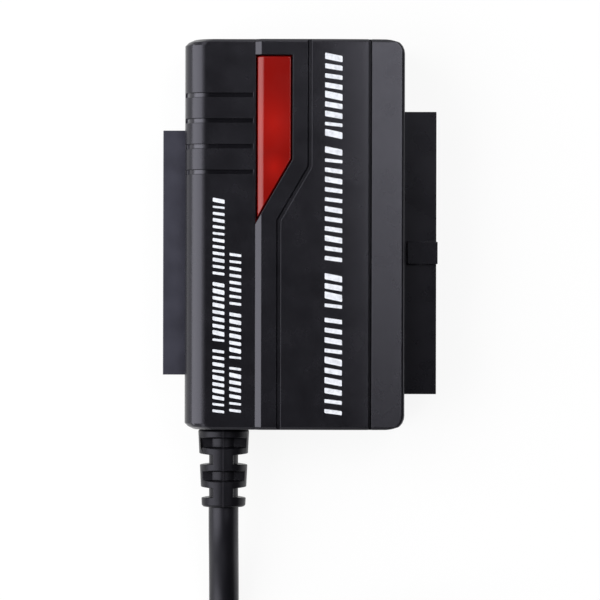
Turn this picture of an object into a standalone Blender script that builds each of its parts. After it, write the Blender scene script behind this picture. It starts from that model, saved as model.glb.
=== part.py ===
# Drive adapter: a small housing with two parallel drive sockets, a serial drive port and a USB cord.
# The origin is at the bottom centre of the adapter. The cord leaves towards -Y. Lengths are in metres.
import math

import bmesh
import bpy
from mathutils import Matrix, Vector

CLEARANCE = 0.0003
SEAM_GAP = 0.0002
ROUND_STEPS = 18
SMALL_ROUND_STEPS = 12

# Housing
HOUSING_WIDTH = 0.0394
HOUSING_LENGTH = 0.0698
BARREL_TOP = 0.0154
PANEL_RISE = 0.0006
PANEL_CROWN = 0.00035
PANEL_CROWN_WIDTH = 0.0103
PANEL_CROWN_STEPS = 5
SEAM_HEIGHT = 0.0076
WALL = 0.0018
BARREL_WIDTH = 0.0126
BARREL_FLANK_RADIUS = 0.0040
STRIP_WIDTH = 0.00115
STRIP_STEP = 0.0001
SHOULDER_WIDTH = 0.0059
SHOULDER_FALL = 0.0006
SHOULDER_ROUND = 0.0007
LEFT_UNDERSIDE_ROUND = 0.0030
RIGHT_UNDERSIDE_ROUND = 0.0020
RIGHT_CORNER_RADIUS = 0.0025
LEFT_CORNER_CHAMFER = 0.0011
END_CHAMFER = 0.0005
LIP_HEIGHT = 0.0012
LIP_THICKNESS = 0.0007

# Grooves in the top shell
EDGE_GROOVE_WIDTH = 0.0006
EDGE_GROOVE_DEPTH = 0.0010
BAND_COUNT = 4
BAND_PITCH = 0.00458
BAND_WIDTH = 0.00055
BAND_DEPTH = 0.00035
BAND_END_MARGIN = 0.0100
LINE_GROOVE_WIDTH = 0.0008
LINE_GROOVE_FLOOR = 0.0006
LINE_GROOVE_DEPTH = 0.0004
LINE_FROM_WINDOW = 0.00305
LINE_STEP = 0.00555
LINE_BEND_DROP = 0.0013

# Indicator window
WINDOW_OPENING_WIDTH = 0.00665
WINDOW_SIDE_LENGTH = 0.0187
WINDOW_END_MARGIN = 0.0028
WINDOW_FROM_BARREL = 0.0001
WINDOW_RECESS = 0.0003
WINDOW_THICKNESS = 0.0012
WINDOW_FLANGE = 0.0008
WINDOW_FLANGE_THICKNESS = 0.0006
WINDOW_FACET_WIDTH = 0.0010
WINDOW_FACET_DEPTH = 0.0006

# Drive sockets: pin 20 is the blocked one on both
SOCKET_OFFSET = -0.0032
WIDE_COLUMNS = 20
WIDE_PITCH = 0.00254
WIDE_SOCKET_DEPTH = 0.0085
WIDE_SOCKET_HEIGHT = 0.0060
WIDE_PROTRUSION = 0.0058
NARROW_COLUMNS = 22
NARROW_PITCH = 0.0020
NARROW_SOCKET_DEPTH = 0.00635
NARROW_SOCKET_HEIGHT = 0.0040
NARROW_PROTRUSION = 0.0040
HOLE_DEPTH = 0.0045
LEAD_IN_DEPTH = 0.0004
WIDE_HOLE = 0.0009
NARROW_HOLE = 0.0007
LEAD_IN_GROWTH = 0.0005
KEY_WIDTH = 0.0040
KEY_HEIGHT = 0.0012
KEY_PROUD = 0.0002
KEY_SETBACK = 0.0006
BLOCKED_COLUMN = 9
TAIL_WIDTH = 0.0005
TAIL_THICKNESS = 0.0003
TAIL_REACH = 0.0020

# Circuit board
BOARD_THICKNESS = 0.0012
BOARD_FRONT_SETBACK = 0.0079
BOARD_BACK_SETBACK = 0.0089
POST_RADIUS = 0.0018
PIN_RADIUS = 0.0010
PIN_HEIGHT = 0.0012
POST_FROM_LEFT = 0.0087
POST_FROM_BACK = 0.0129
POST_FROM_RIGHT = 0.0082
POST_FROM_FRONT = 0.0124

# Serial drive port
PORT_WIDTH = 0.0164
PORT_HEIGHT = 0.0062
PORT_DEPTH = 0.0084
PORT_CAVITY_WIDTH = 0.0136
PORT_CAVITY_HEIGHT = 0.0036
PORT_CAVITY_DEPTH = 0.0062
PORT_TONGUE_WIDTH = 0.0104
PORT_TONGUE_THICKNESS = 0.0012
PORT_SETBACK = 0.0003
PORT_X = 0.0005

# Case screws
SCREW_HEAD_RADIUS = 0.0021
SCREW_HEAD_HEIGHT = 0.0014
SCREW_SHAFT_RADIUS = 0.0011
SCREW_LENGTH = 0.0090
SCREW_SINK = 0.0020
BOSS_RADIUS = 0.0029
SCREW_CROSS_REACH = 0.00126
SCREW_CROSS_WIDTH = 0.0005
BOSS_INSET = 0.0043
BOSS_FROM_CORD = 0.0115
BOSS_FROM_SOCKET = 0.0010

# Cord, strain relief and plug
CORD_DIAMETER = 0.0054
CORD_FROM_LEFT = 0.00695
RELIEF_ROOT_DIAMETER = 0.0092
RELIEF_END_DIAMETER = 0.0079
RELIEF_LENGTH = 0.0140
RELIEF_CORE_DIAMETER = 0.0053
RELIEF_WEB = 0.0036
RELIEF_SLOT_COUNT = 4
RELIEF_SLOT_PITCH = 0.0030
RELIEF_FIRST_SLOT = 0.0024
RELIEF_SLOT_WIDTH = 0.0016
RELIEF_SLOT_FLARE = 0.0003
RELIEF_NECK_DIAMETER = 0.0070
RELIEF_FLANGE_DIAMETER = 0.0096
RELIEF_FLANGE_THICKNESS = 0.0014
RELIEF_FILLET = 0.0003
WIRE_COUNT = 9
WIRE_DIAMETER = 0.0006
WIRE_RING = 0.0018
WIRE_PITCH = 0.0011
WIRE_LANDING = 0.0012
COIL_MEAN_RADIUS = 0.02975
COIL_CENTRE = (0.01870, -0.1040)
COIL_STEPS = 40
TIE_WIDTH = 0.0080
TIE_THICKNESS = 0.0006
PLUG_BODY_WIDTH = 0.0160
PLUG_BODY_HEIGHT = 0.0080
PLUG_BODY_LENGTH = 0.0260
PLUG_BOOT_LENGTH = 0.0080
PLUG_BOOT_DIAMETER = 0.0064
PLUG_BOOT_FLAT = 0.0001
PLUG_SHELL_WIDTH = 0.0120
PLUG_SHELL_HEIGHT = 0.0045
PLUG_SHELL_WALL = 0.0003
PLUG_SHELL_REACH = 0.0120
PLUG_SHELL_SEAT = 0.0030
PLUG_SHELL_RADIUS = 0.0006
PLUG_BODY_RADIUS = 0.0024
PLUG_BODY_BEVEL = 0.0012
PLUG_WINDOW_SIZE = 0.0022
PLUG_WINDOW_SPREAD = 0.0052
PLUG_WINDOW_SETBACK = 0.0060
PLUG_TONGUE_SETBACK = 0.0006
PLUG_TONGUE_THICKNESS = 0.0016
PLUG_X = -0.0267
PLUG_BACK_Y = -0.1010

# Places that follow from the sizes above
LEFT_X = (NARROW_PROTRUSION - HOUSING_WIDTH - WIDE_PROTRUSION - KEY_PROUD) / 2
RIGHT_X = LEFT_X + HOUSING_WIDTH
FRONT_Y = -HOUSING_LENGTH / 2
BACK_Y = HOUSING_LENGTH / 2
PANEL_TOP = BARREL_TOP + PANEL_RISE
CROWN_FOOT = PANEL_TOP - PANEL_CROWN
BARREL_RIGHT_X = LEFT_X + BARREL_WIDTH
PANEL_LEFT_X = BARREL_RIGHT_X + STRIP_WIDTH
STRIP_FOOT = BARREL_TOP - STRIP_STEP
SHOULDER_X = RIGHT_X - SHOULDER_WIDTH
BOARD_LEFT_X = LEFT_X - NARROW_PROTRUSION + NARROW_SOCKET_DEPTH + CLEARANCE
BOARD_RIGHT_X = RIGHT_X + WIDE_PROTRUSION - WIDE_SOCKET_DEPTH - CLEARANCE
BOARD_FRONT_Y = FRONT_Y + BOARD_FRONT_SETBACK
BOARD_BACK_Y = BACK_Y - BOARD_BACK_SETBACK
BOARD_TOP = SEAM_HEIGHT + BOARD_THICKNESS / 2
BOARD_BOTTOM = SEAM_HEIGHT - BOARD_THICKNESS / 2
WINDOW_LEFT_X = BARREL_RIGHT_X + WINDOW_FROM_BARREL
WINDOW_RIGHT_X = WINDOW_LEFT_X + WINDOW_OPENING_WIDTH
WINDOW_TOP_Y = BACK_Y - WINDOW_END_MARGIN
WINDOW_CORNER_Y = WINDOW_TOP_Y - WINDOW_SIDE_LENGTH
SLANT = math.tan(math.radians(60))
NARROW_FACE_X = LEFT_X - NARROW_PROTRUSION
WIDE_FACE_X = RIGHT_X + WIDE_PROTRUSION
NARROW_LENGTH = NARROW_COLUMNS * NARROW_PITCH
WIDE_LENGTH = WIDE_COLUMNS * WIDE_PITCH
CORD_X = LEFT_X + CORD_FROM_LEFT
CORD_RADIUS = CORD_DIAMETER / 2
RELIEF_START_Y = FRONT_Y - CLEARANCE / 2
RELIEF_END_Y = RELIEF_START_Y - RELIEF_LENGTH
RELIEF_FLANGE_Y = FRONT_Y + WALL + CLEARANCE
RELIEF_INNER_Y = RELIEF_FLANGE_Y + RELIEF_FLANGE_THICKNESS

BOSS_PLACES = (
    (LEFT_X + BOSS_INSET + WALL, BACK_Y - BOSS_INSET - CLEARANCE),
    (RIGHT_X - BOSS_INSET, BACK_Y - BOSS_INSET - CLEARANCE),
    (CORD_X + BOSS_FROM_CORD, FRONT_Y + BOSS_INSET),
    (RIGHT_X - BOSS_INSET - BOSS_FROM_SOCKET, FRONT_Y + BOSS_INSET),
)

for old in list(bpy.data.objects):
    bpy.data.objects.remove(old, do_unlink=True)

parts = bpy.data.collections.new("drive_adapter")
cutters = bpy.data.collections.new("cutters")
bpy.context.scene.collection.children.link(parts)
bpy.context.scene.collection.children.link(cutters)


def make_material(name, color, roughness, metallic=0.0):
    material = bpy.data.materials.new(name)
    material.use_nodes = True
    shader = material.node_tree.nodes["Principled BSDF"]
    shader.inputs["Base Color"].default_value = (*color, 1.0)
    shader.inputs["Roughness"].default_value = roughness
    shader.inputs["Metallic"].default_value = metallic
    return material


def place(name, mesh, material=None):
    """Link a mesh as an object, in the parts, or in the cutters when it has no material."""
    thing = bpy.data.objects.new(name, mesh)
    if material is None:
        thing.hide_render = True
        thing.display_type = "WIRE"
        cutters.objects.link(thing)
    else:
        mesh.materials.append(material)
        parts.objects.link(thing)
    return thing


def finish_mesh(name, bm):
    bmesh.ops.recalc_face_normals(bm, faces=bm.faces)
    mesh = bpy.data.meshes.new(name)
    bm.to_mesh(mesh)
    bm.free()
    mesh.shade_smooth()
    mesh.set_sharp_from_angle(angle=math.radians(32))
    return mesh


def add_box(bm, x_range, y_range, z_range):
    size = [abs(high - low) for low, high in (x_range, y_range, z_range)]
    middle = [(high + low) / 2 for low, high in (x_range, y_range, z_range)]
    matrix = Matrix.Translation(middle) @ Matrix.Diagonal((*size, 1.0))
    bmesh.ops.create_cube(bm, size=1.0, matrix=matrix)


def add_rod(bm, radius, start, end, segments):
    start, end = Vector(start), Vector(end)
    turn = (end - start).to_track_quat("Z", "Y").to_matrix().to_4x4()
    matrix = Matrix.Translation((start + end) / 2) @ turn
    bmesh.ops.create_cone(bm, cap_ends=True, segments=segments, radius1=radius, radius2=radius,
                          depth=(end - start).length, matrix=matrix)


def add_loft(bm, rings):
    """Join rings of equal point count into one closed skin, with a cap at each end."""
    rows = [[bm.verts.new(point) for point in ring] for ring in rings]
    count = len(rows[0])
    for near, far in zip(rows, rows[1:]):
        for i in range(count):
            j = (i + 1) % count
            bm.faces.new((near[i], near[j], far[j], far[i]))
    bm.faces.new(rows[0])
    bm.faces.new(rows[-1])


def box(name, x_range, y_range, z_range, material=None):
    bm = bmesh.new()
    add_box(bm, x_range, y_range, z_range)
    return place(name, finish_mesh(name, bm), material)


def rod(name, radius, start, end, material=None, segments=ROUND_STEPS):
    bm = bmesh.new()
    add_rod(bm, radius, start, end, segments)
    return place(name, finish_mesh(name, bm), material)


def loft(name, rings, material=None):
    bm = bmesh.new()
    add_loft(bm, rings)
    return place(name, finish_mesh(name, bm), material)


def prism(name, outline, z_range, material=None):
    """Stand a plan outline up between two heights."""
    rings = [[(x, y, z) for x, y in outline] for z in z_range]
    return loft(name, rings, material)


def add_boolean(target, cutter, operation):
    modifier = target.modifiers.new(cutter.name, "BOOLEAN")
    modifier.object = cutter
    modifier.operation = operation
    modifier.solver = "EXACT"
    return modifier


def cut(target, *tools):
    for tool in tools:
        add_boolean(target, tool, "DIFFERENCE")


def fuse(target, *pieces):
    for piece in pieces:
        add_boolean(target, piece, "UNION")


def keep(target, tool):
    add_boolean(target, tool, "INTERSECT")


def arc(center, radius, start, end, steps):
    """Points on an arc, with angles in degrees."""
    points = []
    for i in range(steps + 1):
        angle = math.radians(start + (end - start) * i / steps)
        points.append((center[0] + radius * math.cos(angle), center[1] + radius * math.sin(angle)))
    return points


def rounded_rectangle(width, height, radius, steps=3):
    corners = ((1, 1, 0), (-1, 1, 90), (-1, -1, 180), (1, -1, 270))
    points = []
    for across, up, start in corners:
        center = (across * (width / 2 - radius), up * (height / 2 - radius))
        points += arc(center, radius, start, start + 90, steps)
    return points


# Housing body: one section, lofted along the length, that both shells are taken from

def shoulder_height(x):
    return CROWN_FOOT - SHOULDER_FALL * (x - SHOULDER_X) / (SHOULDER_WIDTH - SHOULDER_ROUND)


def housing_section(left, right, inset):
    """Outline in X and Z, seen from the cord's end, with its outer faces moved in by the inset."""
    left += inset
    right -= inset
    top = BARREL_TOP - inset
    round_x = right - SHOULDER_ROUND
    round_z = shoulder_height(round_x) - inset
    outline = arc((left + LEFT_UNDERSIDE_ROUND, inset + LEFT_UNDERSIDE_ROUND),
                  LEFT_UNDERSIDE_ROUND, 180, 270, 5)
    outline += arc((right - RIGHT_UNDERSIDE_ROUND, inset + RIGHT_UNDERSIDE_ROUND),
                   RIGHT_UNDERSIDE_ROUND, 270, 360, 4)
    outline += arc((round_x, round_z - SHOULDER_ROUND), SHOULDER_ROUND, 0, 90, 3)
    for i in range(PANEL_CROWN_STEPS + 1):
        across = i / PANEL_CROWN_STEPS
        drop = PANEL_CROWN * (1 - across) ** 2
        outline.append((SHOULDER_X - PANEL_CROWN_WIDTH * across, PANEL_TOP - drop - inset))
    outline.append((PANEL_LEFT_X, PANEL_TOP - inset))
    outline.append((BARREL_RIGHT_X, STRIP_FOOT - inset))
    outline.append((BARREL_RIGHT_X, top))
    outline += arc((left + BARREL_FLANK_RADIUS, top - BARREL_FLANK_RADIUS),
                   BARREL_FLANK_RADIUS, 90, 180, 9)
    return outline


def end_stations():
    """Distances in from an end where the section changes, from the end inwards."""
    turns = [RIGHT_CORNER_RADIUS * (1 - math.cos(math.radians(step * 15))) for step in range(7)]
    stations = sorted(turns + [END_CHAMFER, LEFT_CORNER_CHAMFER])
    return stations


def station_section(distance):
    inset = max(0.0, END_CHAMFER - distance)
    left_shift = max(0.0, LEFT_CORNER_CHAMFER - distance)
    reach = max(0.0, RIGHT_CORNER_RADIUS - distance)
    right_shift = RIGHT_CORNER_RADIUS - math.sqrt(RIGHT_CORNER_RADIUS ** 2 - reach ** 2)
    return housing_section(LEFT_X + left_shift, RIGHT_X - right_shift, inset)


def housing_rings():
    stations = end_stations()
    rings = [[(x, FRONT_Y + d, z) for x, z in station_section(d)] for d in stations]
    rings += [[(x, BACK_Y - d, z) for x, z in station_section(d)] for d in reversed(stations)]
    return rings


def cavity_outline():
    """The hollow, a wall's thickness inside the section."""
    left = LEFT_X + WALL
    right = RIGHT_X - WALL
    low = STRIP_FOOT - WALL
    window_edge = WINDOW_RIGHT_X + WINDOW_FLANGE + 2 * CLEARANCE
    flank = BARREL_FLANK_RADIUS - WALL
    outline = arc((left + LEFT_UNDERSIDE_ROUND - WALL, LEFT_UNDERSIDE_ROUND),
                  LEFT_UNDERSIDE_ROUND - WALL, 180, 270, 3)
    outline.append((right, WALL))
    outline.append((right, CROWN_FOOT - SHOULDER_FALL - WALL))
    outline.append((SHOULDER_X - EDGE_GROOVE_WIDTH, CROWN_FOOT - WALL))
    outline.append((window_edge, PANEL_TOP - WALL))
    outline.append((window_edge, low))
    outline += arc((left + flank, low - flank), flank, 90, 180, 4)
    return outline


def cavity():
    rings = [[(x, y, z) for x, z in cavity_outline()] for y in (FRONT_Y + WALL, BACK_Y - WALL)]
    return loft("cavity", rings)


def window_outline(growth):
    """The pointed window opening in plan, grown on every side."""
    left = WINDOW_LEFT_X - growth
    right = WINDOW_RIGHT_X + growth
    corner_y = WINDOW_CORNER_Y - growth * math.tan(math.radians(15))
    tip_y = corner_y - (right - left) * SLANT
    return [(right, WINDOW_TOP_Y + growth), (left, WINDOW_TOP_Y + growth), (left, tip_y), (right, corner_y)]


def edge_path_ring(path, left_offset, right_offset, z):
    """A band's outline on both sides of a bent path, mitred at its bends."""
    sides = []
    for offset in (left_offset, right_offset):
        side = []
        for i, point in enumerate(path):
            here = Vector(point)
            before = (here - Vector(path[i - 1])).normalized() if i else None
            after = (Vector(path[i + 1]) - here).normalized() if i < len(path) - 1 else None
            before = before or after
            after = after or before
            across = (Vector((-before.y, before.x)) + Vector((-after.y, after.x))).normalized()
            stretch = 1 / across.dot(Vector((-before.y, before.x)))
            side.append(here + across * offset * stretch)
        sides.append(side)
    return [(point.x, point.y, z) for point in sides[0] + sides[1][::-1]]


def line_groove():
    upper_x = WINDOW_RIGHT_X + LINE_FROM_WINDOW
    lower_x = upper_x - LINE_STEP
    bend_y = WINDOW_CORNER_Y - LINE_BEND_DROP
    over = WALL
    path = [(upper_x, BACK_Y + over), (upper_x, bend_y),
            (lower_x, bend_y - LINE_STEP * SLANT), (lower_x, FRONT_Y - over)]
    half = LINE_GROOVE_WIDTH / 2
    slope = (LINE_GROOVE_WIDTH - LINE_GROOVE_FLOOR) / LINE_GROOVE_DEPTH
    rise = CLEARANCE
    floor_ring = edge_path_ring(path, half - LINE_GROOVE_FLOOR, half, PANEL_TOP - LINE_GROOVE_DEPTH)
    top_ring = edge_path_ring(path, -half - slope * rise, half, PANEL_TOP + rise)
    return loft("line_groove", [floor_ring, top_ring])


def band_groove(index):
    """A shallow groove that wraps the barrel, from above the socket to its inner edge."""
    y = BACK_Y - BAND_END_MARGIN - index * BAND_PITCH
    low = SEAM_HEIGHT + NARROW_SOCKET_HEIGHT / 2 + 4 * CLEARANCE
    over = WALL
    inner_flank = BARREL_FLANK_RADIUS - BAND_DEPTH
    flank_center = (LEFT_X + BARREL_FLANK_RADIUS, BARREL_TOP - BARREL_FLANK_RADIUS)
    end_x = BARREL_RIGHT_X - CLEARANCE
    outline = [(LEFT_X - over, low), (LEFT_X + BAND_DEPTH, low)]
    outline += arc(flank_center, inner_flank, 180, 90, 9)
    outline += [(end_x, BARREL_TOP - BAND_DEPTH), (end_x, BARREL_TOP + over)]
    outline.append((LEFT_X - over, BARREL_TOP + over))
    rings = [[(x, y + side * BAND_WIDTH / 2, z) for x, z in outline] for side in (-1, 1)]
    return loft(f"band_groove_{index + 1}", rings)


def side_openings(owner):
    """Cut-outs in the walls, shared by both shells, that follow what passes through them."""
    gap = CLEARANCE
    narrow_half = NARROW_LENGTH / 2 + gap
    narrow_rise = NARROW_SOCKET_HEIGHT / 2 + gap
    wide_half = WIDE_LENGTH / 2 + gap
    wide_rise = WIDE_SOCKET_HEIGHT / 2 + gap
    port_half = PORT_WIDTH / 2 + gap
    over = WALL
    narrow = box(f"{owner}_narrow_opening", (LEFT_X - over, LEFT_X + over + WALL),
                 (SOCKET_OFFSET - narrow_half, SOCKET_OFFSET + narrow_half),
                 (SEAM_HEIGHT - narrow_rise, SEAM_HEIGHT + narrow_rise))
    wide = box(f"{owner}_wide_opening", (RIGHT_X - over - WALL, RIGHT_X + over),
               (SOCKET_OFFSET - wide_half, SOCKET_OFFSET + wide_half),
               (SEAM_HEIGHT - wide_rise, SEAM_HEIGHT + wide_rise))
    port = box(f"{owner}_port_opening", (PORT_X - port_half, PORT_X + port_half),
               (BACK_Y - over - WALL, BACK_Y + over),
               (SEAM_HEIGHT - PORT_HEIGHT / 2 - gap, SEAM_HEIGHT + PORT_HEIGHT / 2 + gap))
    gland = rod(f"{owner}_gland_opening", RELIEF_NECK_DIAMETER / 2 + gap,
                (CORD_X, FRONT_Y - over, SEAM_HEIGHT), (CORD_X, FRONT_Y + over + WALL, SEAM_HEIGHT),
                segments=32)
    return narrow, wide, port, gland


def inner_block(name, inset, z_range):
    """A block that fills the housing's plan, an inset inside its walls."""
    middle = (LEFT_X + RIGHT_X) / 2
    plan = rounded_rectangle(HOUSING_WIDTH - 2 * inset, HOUSING_LENGTH - 2 * inset,
                             RIGHT_CORNER_RADIUS - inset)
    return prism(name, [(middle + x, y) for x, y in plan], z_range)


black_plastic = make_material("housing_plastic", (0.012, 0.012, 0.014), 0.42)
socket_plastic = make_material("socket_plastic", (0.010, 0.010, 0.011), 0.38)
window_plastic = make_material("window_plastic", (0.45, 0.015, 0.012), 0.18)
board_material = make_material("board_laminate", (0.01, 0.09, 0.04), 0.45)
chip_material = make_material("chip_epoxy", (0.015, 0.015, 0.016), 0.6)
metal = make_material("bright_metal", (0.72, 0.72, 0.70), 0.3, 1.0)
ceramic_material = make_material("capacitor_body", (0.32, 0.22, 0.13), 0.5)
lamp_material = make_material("lamp_resin", (0.85, 0.80, 0.62), 0.3)
cord_material = make_material("cord_jacket", (0.013, 0.013, 0.014), 0.5)
port_plastic = make_material("port_plastic", (0.02, 0.02, 0.022), 0.45)
insulator_material = make_material("plug_insulator", (0.01, 0.09, 0.45), 0.4)
tie_material = make_material("tie_fabric", (0.02, 0.02, 0.02), 0.9)
wire_material = make_material("wire_insulation", (0.55, 0.50, 0.42), 0.5)


# Top shell

def build_top_shell():
    shell = loft("top_shell", housing_rings(), black_plastic)
    reach = HOUSING_LENGTH
    below = box("below_seam", (-reach, reach), (-reach, reach), (-WALL, SEAM_HEIGHT + SEAM_GAP / 2))
    rebate_depth = LIP_HEIGHT + CLEARANCE
    rebate = inner_block("lip_rebate", WALL - LIP_THICKNESS - CLEARANCE,
                         (SEAM_HEIGHT, SEAM_HEIGHT + rebate_depth))
    window_hole = prism("window_hole", window_outline(0.0), (STRIP_FOOT - 2 * WALL, PANEL_TOP + WALL))
    edge_groove = box("edge_groove", (SHOULDER_X - EDGE_GROOVE_WIDTH, SHOULDER_X), (-reach, reach),
                      (CROWN_FOOT - EDGE_GROOVE_DEPTH, PANEL_TOP + WALL))
    cut(shell, below, cavity(), rebate)
    for index, (x, y) in enumerate(BOSS_PLACES):
        boss = rod(f"top_boss_{index + 1}", BOSS_RADIUS, (x, y, SEAM_HEIGHT + rebate_depth),
                   (x, y, CROWN_FOOT - WALL / 2))
        fuse(shell, boss)
    for index, (x, y) in enumerate(BOSS_PLACES):
        pilot = rod(f"pilot_hole_{index + 1}", SCREW_SHAFT_RADIUS + CLEARANCE, (x, y, SEAM_HEIGHT),
                    (x, y, SCREW_SINK + SCREW_LENGTH + 2 * CLEARANCE), segments=SMALL_ROUND_STEPS)
        cut(shell, pilot)
    cut(shell, *side_openings("top"))
    cut(shell, window_hole, edge_groove, line_groove())
    for index in range(BAND_COUNT):
        cut(shell, band_groove(index))
    return shell


# Bottom shell

POST_PLACES = (
    (LEFT_X + POST_FROM_LEFT, BACK_Y - POST_FROM_BACK),
    (RIGHT_X - POST_FROM_RIGHT, FRONT_Y + POST_FROM_FRONT),
)


def build_bottom_shell():
    shell = loft("bottom_shell", housing_rings(), black_plastic)
    reach = HOUSING_LENGTH
    above = box("above_seam", (-reach, reach), (-reach, reach),
                (SEAM_HEIGHT - SEAM_GAP / 2, PANEL_TOP + WALL))
    lip = inner_block("lip", WALL - LIP_THICKNESS, (SEAM_HEIGHT - WALL, SEAM_HEIGHT + LIP_HEIGHT))
    cut(shell, above)
    fuse(shell, lip)
    cut(shell, cavity())
    for index, (x, y) in enumerate(BOSS_PLACES):
        boss = rod(f"bottom_boss_{index + 1}", BOSS_RADIUS, (x, y, WALL / 2),
                   (x, y, SEAM_HEIGHT + LIP_HEIGHT))
        fuse(shell, boss)
    for index, (x, y) in enumerate(BOSS_PLACES):
        sink = rod(f"screw_sink_{index + 1}", SCREW_HEAD_RADIUS + CLEARANCE, (x, y, -WALL),
                   (x, y, SCREW_SINK))
        bore = rod(f"screw_bore_{index + 1}", SCREW_SHAFT_RADIUS + CLEARANCE, (x, y, -WALL),
                   (x, y, SEAM_HEIGHT + 2 * WALL), segments=SMALL_ROUND_STEPS)
        cut(shell, sink, bore)
    for index, (x, y) in enumerate(POST_PLACES):
        post = rod(f"board_post_{index + 1}", POST_RADIUS, (x, y, WALL / 2),
                   (x, y, BOARD_BOTTOM - CLEARANCE))
        pin = rod(f"board_pin_{index + 1}", PIN_RADIUS, (x, y, WALL / 2), (x, y, BOARD_TOP + PIN_HEIGHT),
                  segments=SMALL_ROUND_STEPS)
        fuse(shell, post, pin)
    cut(shell, *side_openings("bottom"))
    return shell


# Case screws

def build_screw(index, x, y):
    head_top = SCREW_SINK - CLEARANCE
    head_bottom = head_top - SCREW_HEAD_HEIGHT
    head = rod(f"case_screw_{index + 1}", SCREW_HEAD_RADIUS, (x, y, head_bottom), (x, y, head_top), metal)
    shaft = rod(f"screw_shaft_{index + 1}", SCREW_SHAFT_RADIUS, (x, y, head_bottom + SCREW_HEAD_HEIGHT / 2),
                (x, y, head_top + SCREW_LENGTH), segments=SMALL_ROUND_STEPS)
    half_width = SCREW_CROSS_WIDTH / 2
    fuse(head, shaft)
    for turn in range(2):
        across = (SCREW_CROSS_REACH, half_width) if turn == 0 else (half_width, SCREW_CROSS_REACH)
        slot = box(f"screw_cross_{index + 1}_{turn + 1}", (x - across[0], x + across[0]),
                   (y - across[1], y + across[1]), (head_bottom - WALL, head_bottom + SCREW_HEAD_HEIGHT / 2))
        cut(head, slot)
    return head


# Indicator window

def build_window():
    gap = CLEARANCE
    low = STRIP_FOOT - WALL - CLEARANCE
    top = PANEL_TOP - WINDOW_RECESS
    lens = prism("indicator_window", window_outline(-gap), (low - WINDOW_FLANGE_THICKNESS / 2, top),
                 window_plastic)
    flange = prism("window_flange", window_outline(WINDOW_FLANGE), (low - WINDOW_FLANGE_THICKNESS, low))
    pocket = prism("window_pocket", window_outline(-WINDOW_THICKNESS), (low - WALL, top - WINDOW_THICKNESS))
    left = WINDOW_LEFT_X + gap
    facet = loft("window_facet", [
        [(left - WALL, y, top + WALL), (left + WINDOW_FACET_WIDTH, y, top + WALL),
         (left + WINDOW_FACET_WIDTH, y, top), (left, y, top - WINDOW_FACET_DEPTH),
         (left - WALL, y, top - WINDOW_FACET_DEPTH)] for y in (FRONT_Y, BACK_Y)])
    fuse(lens, flange)
    cut(lens, pocket, facet)
    return lens


# Drive sockets

def pin_holes(name, face_x, inward, columns, pitch, hole):
    """Two rows of square holes with lead-ins; the blocked one of the lower row is left out."""
    bm = bmesh.new()
    levels = ((-LEAD_IN_DEPTH, hole + 2 * LEAD_IN_GROWTH), (LEAD_IN_DEPTH, hole), (HOLE_DEPTH, hole))
    for column in range(columns):
        for row in (-1, 1):
            if row == -1 and column == BLOCKED_COLUMN:
                continue
            y = SOCKET_OFFSET + (column - (columns - 1) / 2) * pitch
            z = SEAM_HEIGHT + row * pitch / 2
            rings = []
            for depth, width in levels:
                half = width / 2
                rings.append([(face_x + inward * depth, y + a * half, z + b * half)
                              for a, b in ((-1, -1), (1, -1), (1, 1), (-1, 1))])
            add_loft(bm, rings)
    return place(name, finish_mesh(name, bm))


def socket_tails(name, inner_x, inward, columns, pitch):
    """Solder tails that straddle the board's edge, rooted in the socket."""
    bm = bmesh.new()
    for column in range(columns):
        y = SOCKET_OFFSET + (column - (columns - 1) / 2) * pitch
        for side in (-1, 1):
            near = SEAM_HEIGHT + side * (BOARD_THICKNESS / 2 + CLEARANCE)
            far = near + side * TAIL_THICKNESS
            add_box(bm, sorted((inner_x - inward * TAIL_WIDTH, inner_x + inward * TAIL_REACH)),
                    (y - TAIL_WIDTH / 2, y + TAIL_WIDTH / 2), sorted((near, far)))
    return place(name, finish_mesh(name, bm))


def build_socket(name, face_x, inward, depth, columns, pitch, height, hole):
    half = columns * pitch / 2
    inner_x = face_x + inward * depth
    socket = box(name, sorted((face_x, inner_x)), (SOCKET_OFFSET - half, SOCKET_OFFSET + half),
                 (SEAM_HEIGHT - height / 2, SEAM_HEIGHT + height / 2), socket_plastic)
    fuse(socket, socket_tails(f"{name}_tails", inner_x, inward, columns, pitch))
    cut(socket, pin_holes(f"{name}_holes", face_x, inward, columns, pitch, hole))
    return socket


def build_wide_socket():
    socket = build_socket("ide40_socket", WIDE_FACE_X, -1, WIDE_SOCKET_DEPTH, WIDE_COLUMNS, WIDE_PITCH,
                          WIDE_SOCKET_HEIGHT, WIDE_HOLE)
    top = SEAM_HEIGHT + WIDE_SOCKET_HEIGHT / 2
    key = box("socket_key", (RIGHT_X + KEY_SETBACK, WIDE_FACE_X + KEY_PROUD),
              (SOCKET_OFFSET - KEY_WIDTH / 2, SOCKET_OFFSET + KEY_WIDTH / 2),
              (top - KEY_HEIGHT / 2, top + KEY_HEIGHT))
    fuse(socket, key)
    return socket


def build_narrow_socket():
    return build_socket("ide44_socket", NARROW_FACE_X, 1, NARROW_SOCKET_DEPTH, NARROW_COLUMNS, NARROW_PITCH,
                        NARROW_SOCKET_HEIGHT, NARROW_HOLE)


# Serial drive port in the far end, with its L-shaped tongue

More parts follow.
